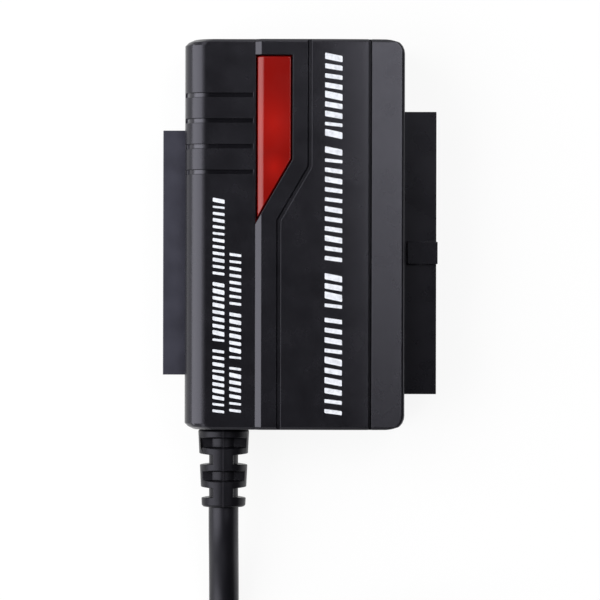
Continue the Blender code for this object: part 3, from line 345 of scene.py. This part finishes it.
boardSettings = {"mask": (0.009, 0.078, 0.032), "track": (0.018, 0.135, 0.055), "roughness": 0.35, "patches": 130.0,
                 "tracks": 260.0, "trackEdges": (0.55, 0.70), "shares": {"X": (0.0, 0.35), "Y": (0.35, 0.70)},
                 "weave": 900.0, "strength": 0.1, "height": 0.01}


def boardLaminate(name):
    material, tree, shader = startMaterial(name, boardSettings["mask"], boardSettings["roughness"])
    patches = addTexture(tree, "ShaderNodeTexVoronoi", boardSettings["patches"], distance="MANHATTAN")
    kind = addNode(tree, "ShaderNodeSeparateColor")
    tree.links.new(patches.outputs["Color"], kind.inputs["Color"])
    shown = []
    for direction, (low, high) in boardSettings["shares"].items():
        tracks = addTexture(tree, "ShaderNodeTexWave", boardSettings["tracks"], bands_direction=direction)
        lines = addRange(tree, tracks.outputs["Fac"], 0.0, 1.0, *boardSettings["trackEdges"])
        here = addMath(tree, "COMPARE", kind.outputs["Red"], (low + high) / 2, (high - low) / 2)
        shown.append(addMath(tree, "MULTIPLY", lines, here))
    stops = [(0.0, boardSettings["mask"]), (1.0, boardSettings["track"])]
    wire(tree, addRamp(tree, addMath(tree, "ADD", *shown), stops), shader.inputs["Base Color"])
    weave = addTexture(tree, "ShaderNodeTexWave", boardSettings["weave"])
    addBump(tree, shader, weave.outputs["Fac"], boardSettings["strength"], boardSettings["height"])
    return material


# Tie: short loops of a hook-and-loop strap

tieSettings = {"color": (0.016, 0.016, 0.017), "roughness": 0.9, "loops": 1800.0, "strength": 0.8, "height": 0.15,
               "tones": [(0.0, (0.030, 0.030, 0.032)), (0.8, (0.008, 0.008, 0.009))]}


def hookTape(name):
    material, tree, shader = startMaterial(name, tieSettings["color"], tieSettings["roughness"])
    loops = addTexture(tree, "ShaderNodeTexVoronoi", tieSettings["loops"]).outputs["Distance"]
    wire(tree, addRamp(tree, loops, tieSettings["tones"]), shader.inputs["Base Color"])
    addBump(tree, shader, loops, tieSettings["strength"], tieSettings["height"])
    return material


# Ink: screen-printed white, a little thin in places

inkSettings = {"color": (0.80, 0.82, 0.87), "roughness": 0.5, "patches": 1400.0, "strength": 0.2, "height": 0.01,
               "tones": [(0.30, (0.62, 0.64, 0.69)), (0.60, (0.82, 0.84, 0.90))]}


def printInk(name):
    material, tree, shader = startMaterial(name, inkSettings["color"], inkSettings["roughness"])
    patches = addNoise(tree, inkSettings["patches"], 4.0)
    wire(tree, addRamp(tree, patches, inkSettings["tones"]), shader.inputs["Base Color"])
    addBump(tree, shader, patches, inkSettings["strength"], inkSettings["height"])
    return material


finishes = {name: mouldedPlastic(name, **settings) for name, settings in plastics.items()}
finishes.update({name: brightMetal(name, **settings) for name, settings in metals.items()})
for name, make in (("jacketBlack", cordJacket), ("windowRed", redLens), ("boardGreen", boardLaminate),
                   ("tapeBlack", hookTape), ("inkWhite", printInk)):
    finishes[name] = make(name)
addGrooveFloors(finishes["housingBlack"])
addPartingLine(finishes["reliefBlack"])
print("materials done")


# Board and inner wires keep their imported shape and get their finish

wireSettings = {
    "roughness": 0.48, "grain": 5000.0, "depth": 0.006,
    "colors": [(0.45, 0.02, 0.02), (0.02, 0.02, 0.02), (0.70, 0.70, 0.68), (0.03, 0.30, 0.06), (0.03, 0.08, 0.45),
               (0.70, 0.55, 0.04), (0.22, 0.05, 0.35), (0.75, 0.25, 0.03), (0.45, 0.44, 0.42)],
}


def paint(thing, material):
    thing.data.materials.clear()
    thing.data.materials.append(material)


paint(nodes["circuit_board"], finishes["boardGreen"])
for number, color in enumerate(wireSettings["colors"], 1):
    sleeve = mouldedPlastic(f"wireSleeve{number}", color, wireSettings["roughness"], wireSettings["grain"],
                            wireSettings["depth"])
    paint(nodes[f"inner_wire_{number}"], sleeve)


# Housing, window, sockets, relief, plug and components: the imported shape, merged, with its edges softened and
# shaded round. Each has its finish, the width of the softening and the length under which an edge stays sharp,
# in millimetres. A name without a number stands for all the nodes that start with it.

softEdges = {
    "top_shell": ("housingBlack", 0.055, 0.0), "bottom_shell": ("housingBlack", 0.10, 0.0),
    "indicator_window": ("windowRed", 0.22, 0.0), "ide40_socket": ("socketBlack", 0.08, 1.5),
    "ide44_socket": ("socketGrey", 0.08, 1.5), "sata_port": ("portBlack", 0.06, 0.0),
    "strain_relief": ("reliefBlack", 0.12, 0.0), "plug_body": ("plugBlack", 0.15, 0.0),
    "plug_shell": ("plateMetal", 0.04, 0.0), "plug_insulator": ("blueInsulator", 0.08, 0.0),
    "coil_tie": ("tapeBlack", 0.12, 0.0), "crystal": ("plateMetal", 0.30, 0.0),
    "power_inductor": ("chipBlack", 0.30, 0.0), "bridge_chip": ("chipBlack", 0.12, 0.0),
    "bulk_capacitor": ("plateMetal", 0.25, 0.0), "case_screw": ("screwMetal", 0.06, 0.0),
    "ceramic_capacitor": ("ceramicBrown", 0.06, 0.0), "flash_chip": ("chipBlack", 0.12, 0.0),
    "indicator_lamp": ("lampResin", 0.22, 0.0), "voltage_regulator": ("chipBlack", 0.12, 0.0),
}
softening = {"sharp": 30.6, "flat": 0.3, "merge": 0.002, "shareOfFace": 0.4, "segments": 2, "flatWeight": 80}
sharpAngle = math.radians(softening["sharp"])


def openBands(bm):
    # moves the side walls of the barrel's grooves apart and their floors inwards
    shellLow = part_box("top_shell")[0] / mm
    radius = bandSettings["radius"]
    centerX, centerZ = shellLow.x + radius, bandSettings["top"] - radius
    for vert in bm.verts:
        x, y, z = vert.co / mm
        if x > bandSettings["inside"] or z < bandSettings["above"]:
            continue
        for number in range(bandSettings["count"]):
            offset = y - bandSettings["first"] + number * bandSettings["pitch"]
            if abs(abs(offset) - bandSettings["half"]) > bandSettings["touch"]:
                continue
            outward = Vector((min(x - centerX, 0.0), 0.0, max(z - centerZ, 0.0)))
            if abs(outward.length - radius + bandSettings["depth"]) < bandSettings["floorTouch"]:
                vert.co -= outward.normalized() * bandSettings["deeper"] * mm
            vert.co.y += math.copysign(bandSettings["wider"], offset) * mm


def softenedCopy(nodeName, finish, width, leastEdge):
    mesh = nodes[nodeName].data.copy()
    bm = bmesh.new()
    bm.from_mesh(mesh)
    bmesh.ops.remove_doubles(bm, verts=bm.verts, dist=softening["merge"] * mm)
    bmesh.ops.dissolve_limit(bm, angle_limit=math.radians(softening["flat"]), verts=bm.verts, edges=bm.edges)
    if nodeName == "top_shell":
        openBands(bm)
    # beside a narrow face the softening takes no more than a share of the face
    weigh = bm.edges.layers.float.new("bevel_weight_edge")
    for edge in bm.edges:
        if edge.calc_length() > leastEdge * mm and edge.calc_face_angle(0.0) > sharpAngle:
            narrowest = min(face.calc_area() * 2 / face.calc_perimeter() for face in edge.link_faces)
            edge[weigh] = min(1.0, softening["shareOfFace"] * narrowest / (width * mm))
    bm.to_mesh(mesh)
    bm.free()
    mesh.shade_smooth()
    mesh.set_sharp_from_angle(angle=sharpAngle)
    piece = linkObject(f"{nodeName}_soft", mesh)
    paint(piece, finishes[finish])
    bevel = piece.modifiers.new("edges", "BEVEL")
    bevel.width = width * mm
    bevel.segments = softening["segments"]
    bevel.limit_method = "WEIGHT"
    bevel.use_clamp_overlap = False
    weld = piece.modifiers.new("closeCorners", "WELD")
    weld.merge_threshold = softening["merge"] * mm
    flat = piece.modifiers.new("flatFaces", "WEIGHTED_NORMAL")
    flat.weight = softening["flatWeight"]
    flat.keep_sharp = True
    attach(piece, "root")
    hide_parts(nodeName)


for kind, settings in softEdges.items():
    for nodeName in nodes:
        if nodeName.startswith(kind):
            softenedCopy(nodeName, *settings)
print("housing done")


# What repeats: contacts, leads, pads and the bars of the print. A shape is set out in rows by Geometry Nodes.

rowInputs = {"Shape": "Geometry", "Columns": "Int", "Rows": "Int", "Start": "Vector", "Column Step": "Vector",
             "Row Step": "Vector", "Skip": "Int", "Least Size": "Vector", "Seed": "Int", "Finish": "Material"}


def makeRowTree():
    tree = bpy.data.node_groups.new("rowsOfShapes", "GeometryNodeTree")
    for label, kind in rowInputs.items():
        tree.interface.new_socket(name=label, in_out="INPUT", socket_type=f"NodeSocket{kind}")
    tree.interface.new_socket(name="Shapes", in_out="OUTPUT", socket_type="NodeSocketGeometry")
    given = tree.nodes.new("NodeGroupInput").outputs
    links = tree.links

    def scaled(step, factor):
        node = addNode(tree, "ShaderNodeVectorMath", operation="SCALE")
        links.new(step, node.inputs[0])
        links.new(factor, node.inputs["Scale"])
        return node.outputs["Vector"]

    def moved(place, step):
        node = addNode(tree, "ShaderNodeVectorMath", operation="ADD")
        links.new(place, node.inputs[0])
        links.new(step, node.inputs[1])
        return node.outputs["Vector"]

    index = tree.nodes.new("GeometryNodeInputIndex").outputs["Index"]
    column = addMath(tree, "FLOOR", addMath(tree, "DIVIDE", index, given["Rows"]))
    row = addMath(tree, "MODULO", index, given["Rows"])
    place = moved(moved(given["Start"], scaled(given["Column Step"], column)), scaled(given["Row Step"], row))
    line = tree.nodes.new("GeometryNodeMeshLine")
    links.new(addMath(tree, "MULTIPLY", given["Columns"], given["Rows"]), line.inputs["Count"])
    spread = tree.nodes.new("GeometryNodeSetPosition")
    links.new(line.outputs["Mesh"], spread.inputs["Geometry"])
    links.new(place, spread.inputs["Position"])
    wanted = addNode(tree, "FunctionNodeCompare", data_type="INT", operation="NOT_EQUAL")
    links.new(index, wanted.inputs[2])
    links.new(given["Skip"], wanted.inputs[3])
    size = addNode(tree, "FunctionNodeRandomValue", data_type="FLOAT_VECTOR")
    size.inputs["Max"].default_value = (1.0, 1.0, 1.0)
    links.new(given["Least Size"], size.inputs["Min"])
    links.new(given["Seed"], size.inputs["Seed"])
    copies = tree.nodes.new("GeometryNodeInstanceOnPoints")
    links.new(spread.outputs["Geometry"], copies.inputs["Points"])
    links.new(wanted.outputs["Result"], copies.inputs["Selection"])
    links.new(given["Shape"], copies.inputs["Instance"])
    links.new(size.outputs["Value"], copies.inputs["Scale"])
    real = tree.nodes.new("GeometryNodeRealizeInstances")
    links.new(copies.outputs["Instances"], real.inputs["Geometry"])
    finish = tree.nodes.new("GeometryNodeSetMaterial")
    links.new(real.outputs["Geometry"], finish.inputs["Geometry"])
    links.new(given["Finish"], finish.inputs["Material"])
    links.new(finish.outputs["Geometry"], tree.nodes.new("NodeGroupOutput").inputs["Shapes"])
    return tree


rowTree = makeRowTree()


def rowsOf(name, shape, finish, columns, start, columnStep, rows=1, rowStep=(0.0, 0.0, 0.0), skip=-1,
           leastSize=(1.0, 1.0, 1.0), seed=3):
    values = {"Columns": columns, "Rows": rows, "Start": start, "Column Step": columnStep, "Row Step": rowStep,
              "Skip": skip, "Least Size": leastSize, "Seed": seed, "Finish": finishes[finish]}
    piece = linkObject(name, shape)
    modifier = piece.modifiers.new("rows", "NODES")
    modifier.node_group = rowTree
    for socket in rowTree.interface.items_tree:
        if socket.name in values:
            modifier[socket.identifier] = values[socket.name]
    graph = bpy.context.evaluated_depsgraph_get()
    mesh = bpy.data.meshes.new_from_object(piece.evaluated_get(graph))
    piece.modifiers.remove(modifier)
    piece.data = mesh
    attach(piece, "root")


sameSpot = 0.0005  # millimetres under which two points of a shape are one


def prisms(name, outline, low, high, *places):
    # a closed prism of the outline for each place, which turns (along, across, height) into a point in millimetres
    bm = bmesh.new()
    count = len(outline)
    for place in places:
        rings = [[bm.verts.new(place(a, b, height) * mm) for a, b in outline] for height in (low, high)]
        for i in range(count):
            j = (i + 1) % count
            bm.faces.new((rings[0][i], rings[0][j], rings[1][j], rings[1][i]))
        bm.faces.new(rings[0][::-1])
        bm.faces.new(rings[1])
    bmesh.ops.remove_doubles(bm, verts=bm.verts, dist=sameSpot * mm)
    bmesh.ops.recalc_face_normals(bm, faces=bm.faces)
    mesh = bpy.data.meshes.new(name)
    bm.to_mesh(mesh)
    bm.free()
    return mesh


# Drive sockets: a pair of gold spring leaves in each hole, seen from the sides

leafSettings = {
    "sockets": {
        "wide": {"side": 1, "face": 24.5, "columns": 20, "pitch": 2.54, "hole": 0.9},
        "narrow": {"side": -1, "face": -24.7, "columns": 22, "pitch": 2.0, "hole": 0.7},
    },
    "middleY": -3.2, "middleZ": 7.6, "blockedColumn": 9, "thickness": 0.10, "width": 0.45, "length": 3.2,
    "setback": 0.55, "gap": 0.02, "bow": [(0.0, 1.0), (0.7, 0.45), (1.3, 0.55)],
}


def leafPair(side, hole):
    # two strips that bow towards each other and flare at the mouth, as outlines in depth and height
    thickness = leafSettings["thickness"]
    wall = hole / 2 - thickness - leafSettings["gap"]
    bow = [(depth, wall * share) for depth, share in leafSettings["bow"]] + [(leafSettings["length"], wall)]
    outline = bow + [(depth, height + thickness) for depth, height in reversed(bow)]
    half = leafSettings["width"] * hole / 2
    setback = leafSettings["setback"]
    return prisms("leafPair", outline, -half, half, lambda a, b, c: Vector((-side * (a + setback), c, -b)),
                  lambda a, b, c: Vector((-side * (a + setback), c, b)))


for name, settings in leafSettings["sockets"].items():
    pitch, columns = settings["pitch"], settings["columns"]
    start = Vector((settings["face"], leafSettings["middleY"] - (columns - 1) / 2 * pitch,
                    leafSettings["middleZ"] - pitch / 2))
    leaves = leafPair(settings["side"], settings["hole"])
    rowsOf(f"{name}_socket_leaves", leaves, "contactGold", columns, start * mm, (0.0, pitch * mm, 0.0), rows=2,
           rowStep=(0.0, 0.0, pitch * mm), skip=leafSettings["blockedColumn"] * 2)


# Serial port and plug: contact strips on their tongues, with bent-over ends

contactSettings = {
    "port": {"count": 7, "pitch": 1.27, "first": (-2.71, 34.05, 6.86), "width": 0.84, "length": 5.6, "thick": 0.15},
    "plugPads": {"count": 4, "pitch": 2.333, "first": (-30.2, -139.3, 3.94), "width": 1.0, "length": 6.2,
                 "thick": 0.12},
    "plugSprings": {"count": 5, "pitch": 2.0, "first": (-30.7, -135.6, 3.94), "width": 0.55, "length": 1.6,
                    "thick": 0.30},
}
# outline of a strip from the side, in shares of its length and thickness
stripOutline = [(0.0, -0.5), (0.12, 0.0), (1.0, 0.0), (1.0, 1.0), (0.10, 1.0), (0.0, 0.3)]

for name, settings in contactSettings.items():
    outline = [(a * settings["length"], b * settings["thick"]) for a, b in stripOutline]
    half = settings["width"] / 2
    strip = prisms(name, outline, -half, half, lambda a, b, c: Vector((c, -a, b)))
    rowsOf(f"{name}_contacts", strip, "contactGold", settings["count"], Vector(settings["first"]) * mm,
           (settings["pitch"] * mm, 0.0, 0.0))
print("contacts done")


# Circuit board: leads of the chips, and the pads, end caps and foot plates that the other components stand on

boardTop = 8.2
leadSettings = {
    "thick": 0.15, "overlap": 0.2, "knee": 0.4, "foot": 0.6,
    "chips": {
        "bridge_chip": {"headings": [(1, 0), (0, 1), (-1, 0), (0, -1)], "count": 16, "pitch": 0.5, "width": 0.22,
                        "reach": 0.9},
        "flash_chip": {"headings": [(1, 0), (-1, 0)], "count": 4, "pitch": 1.27, "width": 0.42, "reach": 1.0},
        "voltage_regulator": {"headings": [(0, -1)], "count": 3, "pitch": 2.3, "width": 0.7, "reach": 1.2},
    },
}
padSettings = {
    "crystal": {"size": (1.2, 1.0), "spread": (3.6, 2.0), "height": 0.3, "finish": "plateMetal"},
    "indicator_lamp": {"size": (2.2, 0.8), "spread": (0.0, 2.5), "height": 0.3, "finish": "plateMetal"},
    "ceramic_capacitor": {"size": (0.50, 1.26), "spread": (1.53, 0.0), "height": 1.23, "finish": "plateMetal"},
    "bulk_capacitor": {"size": (4.3, 4.3), "spread": (0.0, 0.0), "height": 0.3, "finish": "chipBlack"},
    "power_inductor": {"size": (5.4, 5.4), "spread": (0.0, 0.0), "height": 0.3, "finish": "chipBlack"},
}
cutCorner = 0.15  # share of a pad's lesser side


def gullLead(heading, level, reach, width):
    # out of the chip at the level, down, and out along the board
    thick, overlap = leadSettings["thick"], leadSettings["overlap"]
    knee, foot = leadSettings["knee"] * reach, leadSettings["foot"] * reach
    outline = [(-overlap, level + thick / 2), (knee + thick / 2, level + thick / 2), (foot, thick), (reach, thick),
               (reach, 0.0), (foot - thick, 0.0), (knee - thick / 2, level - thick / 2),
               (-overlap, level - thick / 2)]
    out = Vector((*heading, 0.0))
    side = Vector((-heading[1], heading[0], 0.0))
    up = Vector((0.0, 0.0, 1.0))
    return prisms("gullLead", outline, -width / 2, width / 2, lambda a, b, c: out * a + up * b + side * c)


def padBlock(size, height):
    # rectangle with cut corners
    corner = cutCorner * min(size)
    outline = []
    for turnX, turnY in ((1, 1), (-1, 1), (-1, -1), (1, -1)):
        near = [(turnX * size[0] / 2, turnY * (size[1] / 2 - corner)),
                (turnX * (size[0] / 2 - corner), turnY * size[1] / 2)]
        outline += near if turnX == turnY else near[::-1]
    return prisms("padBlock", outline, 0.0, height, lambda a, b, c: Vector((a, b, c)))


def boxMiddle(nodeName):
    low, high = (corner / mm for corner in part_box(nodeName))
    return (low + high) / 2, (high - low) / 2


for nodeName, settings in leadSettings["chips"].items():
    middle, half = boxMiddle(nodeName)
    span = settings["pitch"] * (settings["count"] - 1)
    for number, heading in enumerate(settings["headings"], 1):
        side = Vector((-heading[1], heading[0], 0.0))
        edge = Vector((middle.x + heading[0] * half.x, middle.y + heading[1] * half.y, boardTop))
        lead = gullLead(heading, middle.z - boardTop, settings["reach"], settings["width"])
        rowsOf(f"{nodeName}_leads_{number}", lead, "plateMetal", settings["count"], (edge - side * span / 2) * mm,
               side * settings["pitch"] * mm)

for kind, settings in padSettings.items():
    stepX, stepY = settings["spread"]
    for nodeName in nodes:
        if nodeName.startswith(kind):
            middle, half = boxMiddle(nodeName)
            start = Vector((middle.x - stepX / 2, middle.y - stepY / 2, boardTop))
            rowsOf(f"{nodeName}_pads", padBlock(settings["size"], settings["height"]), settings["finish"],
                   2 if stepX else 1, start * mm, (stepX * mm, 0.0, 0.0), rows=2 if stepY else 1,
                   rowStep=(0.0, stepY * mm, 0.0))
print("board done")


# Print: plain slanted bars in groups, thin and closed, where the housing carries its legend

printSettings = {
    "slant": 0.22, "thickness": 0.02, "sink": 0.02, "corner": 0.12, "leastWidth": 0.45,
    "lines": {
        "panel": {"left": 4.40, "right": 7.50, "height": 15.951, "fall": 0.024, "bar": 1.25, "pitch": 1.82,
                  "groups": [(-32.3, -14.8), (-13.4, -7.1), (-5.0, 15.5), (17.3, 32.2)]},
        "barrelOuter": {"left": -15.6, "right": -13.5, "height": 15.4, "fall": 0.0, "bar": 0.80, "pitch": 1.22,
                        "groups": [(-32.0, -20.5), (-19.3, -8.6), (-7.4, 6.4)]},
        "barrelInner": {"left": -12.6, "right": -10.5, "height": 15.4, "fall": 0.0, "bar": 0.80, "pitch": 1.22,
                        "groups": [(-31.9, -23.6), (-22.4, -14.0), (-12.8, -3.3)]},
    },
}


def barShape(name, reach, width, fall):
    # rounded parallelogram, leaning as it crosses the line and lying on the crown of the panel
    lean = printSettings["slant"] * reach / 2
    corners = [Vector(corner) for corner in ((-width / 2 - lean, -reach / 2), (width / 2 - lean, -reach / 2),
                                             (width / 2 + lean, reach / 2), (-width / 2 + lean, reach / 2))]
    outline = []
    for i, here in enumerate(corners):
        for other in (corners[i - 1], corners[(i + 1) % len(corners)]):
            outline.append(tuple(here + (other - here).normalized() * printSettings["corner"]))
    return prisms(name, outline, -printSettings["sink"], printSettings["thickness"],
                  lambda a, b, c: Vector((-b, a, c + fall * b)))


def makePrint(name, settings):
    reach = settings["right"] - settings["left"]
    middle = (settings["right"] + settings["left"]) / 2
    for number, (low, high) in enumerate(settings["groups"], 1):
        count = round((high - low - settings["bar"]) / settings["pitch"]) + 1
        pitch = (high - low - settings["bar"]) / (count - 1)
        bar = barShape(f"{name}Bar", reach, settings["bar"], settings["fall"])
        rowsOf(f"{name}_print_{number}", bar, "inkWhite", count,
               Vector((middle, low + settings["bar"] / 2, settings["height"])) * mm, (0.0, pitch * mm, 0.0),
               leastSize=(1.0, printSettings["leastWidth"], 1.0), seed=number)


for name, settings in printSettings["lines"].items():
    makePrint(name, settings)
print("print done")


# Cord: out of the relief, down to the table, along it, then round the coil's middle in three turns, off over the
# top of them and down to the plug. Points are in millimetres; the turns are keyed by angle, radius and height.

cordSettings = {
    "exit": (-0.01375, -0.04905, 0.0076), "diameter": 0.0054, "coilMiddle": (18.7, -104.0), "step": 15.0,
    "roundness": 5, "smoothness": 4,
    "lead": [(-13.75, -49.05, 7.60), (-13.75, -52.0, 7.45), (-13.75, -55.0, 6.75), (-13.75, -59.0, 5.0),
             (-13.75, -64.0, 3.4), (-13.75, -69.0, 2.8), (-13.75, -76.0, 2.7), (-13.75, -84.0, 2.7),
             (-13.75, -92.0, 2.7), (-13.75, -98.0, 2.7)],
    "turns": [(180, 32.45, 2.7), (455, 32.45, 2.7), (525, 27.05, 2.7), (772, 27.05, 2.7), (806, 27.05, 4.7),
              (828, 27.15, 7.5), (848, 29.15, 8.5), (870, 29.75, 8.0), (895, 29.75, 7.38), (1135, 29.75, 7.38)],
    "tail": [(27.4, -74.6, 7.4), (18.7, -71.7, 7.4), (8.4, -71.9, 7.6), (-1.6, -73.6, 8.05), (-6.0, -74.4, 8.4),
             (-10.5, -75.8, 8.6), (-15.5, -78.0, 8.6), (-20.0, -81.3, 8.0), (-23.6, -85.75, 6.6),
             (-25.9, -91.3, 5.0), (-26.7, -97.25, 4.1), (-26.7, -101.0, 4.0)],
}


def coilPoint(angle):
    # radius and height run smoothly from one key to the next
    keys = cordSettings["turns"]
    for first, second in zip(keys, keys[1:]):
        if first[0] <= angle <= second[0]:
            share = (angle - first[0]) / (second[0] - first[0])
            share = share * share * (3 - 2 * share)
            radius = first[1] + (second[1] - first[1]) * share
            height = first[2] + (second[2] - first[2]) * share
            turn = math.radians(angle)
            middleX, middleY = cordSettings["coilMiddle"]
            return (middleX + radius * math.cos(turn), middleY + radius * math.sin(turn), height)


def cordRoute():
    firstAngle, lastAngle = cordSettings["turns"][0][0], cordSettings["turns"][-1][0]
    count = round((lastAngle - firstAngle) / cordSettings["step"])
    turns = [coilPoint(firstAngle + (lastAngle - firstAngle) * i / count) for i in range(count + 1)]
    return [Vector(point) * mm for point in cordSettings["lead"] + turns + cordSettings["tail"]]


def makeCord():
    route = cordRoute()
    curve = bpy.data.curves.new("cord", "CURVE")
    curve.dimensions = "3D"
    curve.bevel_depth = cordSettings["diameter"] / 2
    curve.bevel_resolution = cordSettings["roundness"]
    curve.resolution_u = cordSettings["smoothness"]
    curve.use_fill_caps = True
    spline = curve.splines.new("BEZIER")
    spline.bezier_points.add(len(route) - 1)
    for i, (knot, place) in enumerate(zip(spline.bezier_points, route)):
        before = route[max(i - 1, 0)]
        after = route[min(i + 1, len(route) - 1)]
        heading = (after - before).normalized()
        knot.co = place
        knot.handle_left_type = "FREE"
        knot.handle_right_type = "FREE"
        knot.handle_left = place - heading * (place - before).length / 3
        knot.handle_right = place + heading * (after - place).length / 3
    curve.materials.append(finishes["jacketBlack"])
    cord = linkObject("cord", curve)
    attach(cord, "root")
    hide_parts("cord_lead", "cord_coil", "cord_tail")
    print("cord done, metres:", round(sum((b - a).length for a, b in zip(route, route[1:])), 4))
    return cord


cord = makeCord()


# Table, light and background. The walls round the table are bright, but for the one on the right, and the ceiling
# is dark. A large softbox stands on the left, a narrow one hangs above it and a small one to the camera's right.

stageSettings = {
    "floorSize": 3.0, "floorColor": (0.95, 0.95, 0.955), "floorRoughness": 0.9, "floorLift": 0.90,
    "walls": [(0.0, 0.75), (0.50, 0.70), (0.72, 0.30), (0.90, 0.05), (1.0, 0.02)],
    "rightWall": [(0.0, 1.0), (0.10, 1.0), (0.40, 0.15), (1.0, 0.10)],
}
lampSettings = {
    "leftSoftbox": {"place": (-0.75, 0.02, 0.525), "size": (1.10, 0.96), "power": 11.4},
    "topLeftSoftbox": {"place": (-0.30, 0.02, 0.74), "size": (0.90, 0.20), "power": 0.60},
    "rightSoftbox": {"place": (0.235, 0.18, 0.61), "size": (0.40, 0.34), "power": 1.65},
}


def makeFloor():
    mesh = bpy.data.meshes.new("table")
    bm = bmesh.new()
    bmesh.ops.create_grid(bm, x_segments=1, y_segments=1, size=stageSettings["floorSize"] / 2)
    bm.to_mesh(mesh)
    bm.free()
    floor = linkObject("table", mesh)
    material, tree, shader = startMaterial("tableWhite", stageSettings["floorColor"],
                                           stageSettings["floorRoughness"], specular=0.0)
    # lifted to white for rays from the camera, in a reflection or through glass
    path = addNode(tree, "ShaderNodeLightPath").outputs
    seen = addMath(tree, "MAXIMUM", path["Is Camera Ray"], path["Is Glossy Ray"])
    seen = addMath(tree, "MAXIMUM", seen, path["Is Transmission Ray"])
    white = addNode(tree, "ShaderNodeEmission")
    white.inputs["Strength"].default_value = 1.0
    blend = addNode(tree, "ShaderNodeMixShader")
    wire(tree, addMath(tree, "MULTIPLY", seen, stageSettings["floorLift"]), blend.inputs["Fac"])
    wire(tree, shader.outputs["BSDF"], blend.inputs[1])
    wire(tree, white.outputs["Emission"], blend.inputs[2])
    wire(tree, blend.outputs["Shader"], tree.nodes["Material Output"].inputs["Surface"])
    mesh.materials.append(material)


def makeWorld():
    # the walls by height, darkened from left to right; the camera itself sees plain white
    world = bpy.data.worlds.new("studio")
    scene.world = world
    world.use_nodes = True
    tree = world.node_tree
    walls = tree.nodes["Background"]
    split = addNode(tree, "ShaderNodeSeparateXYZ")
    wire(tree, addNode(tree, "ShaderNodeTexCoord").outputs["Generated"], split.inputs["Vector"])
    byHeight, byWidth = (addRamp(tree, split.outputs[axis], [(place, (light,) * 3) for place, light in stops])
                         for axis, stops in (("Z", stageSettings["walls"]), ("X", stageSettings["rightWall"])))
    wire(tree, addMix(tree, "RGBA", 1.0, byHeight, byWidth, blend="MULTIPLY"), walls.inputs["Color"])
    white = addNode(tree, "ShaderNodeBackground")
    white.inputs["Color"].default_value = (1.0, 1.0, 1.0, 1.0)
    blend = addNode(tree, "ShaderNodeMixShader")
    wire(tree, addNode(tree, "ShaderNodeLightPath").outputs["Is Camera Ray"], blend.inputs["Fac"])
    wire(tree, walls.outputs["Background"], blend.inputs[1])
    wire(tree, white.outputs["Background"], blend.inputs[2])
    wire(tree, blend.outputs["Shader"], tree.nodes["World Output"].inputs["Surface"])


def makeLamp(name, settings):
    data = bpy.data.lights.new(name, "AREA")
    data.shape = "RECTANGLE"
    data.size, data.size_y = settings["size"]
    data.energy = settings["power"]
    lamp = linkObject(name, data)
    lamp.location = settings["place"]
    lamp.rotation_euler = (-lamp.location).to_track_quat("-Z", "Y").to_euler()


makeFloor()
makeWorld()
for name, settings in lampSettings.items():
    makeLamp(name, settings)
scene.view_settings.view_transform = "Standard"
print("studio done")
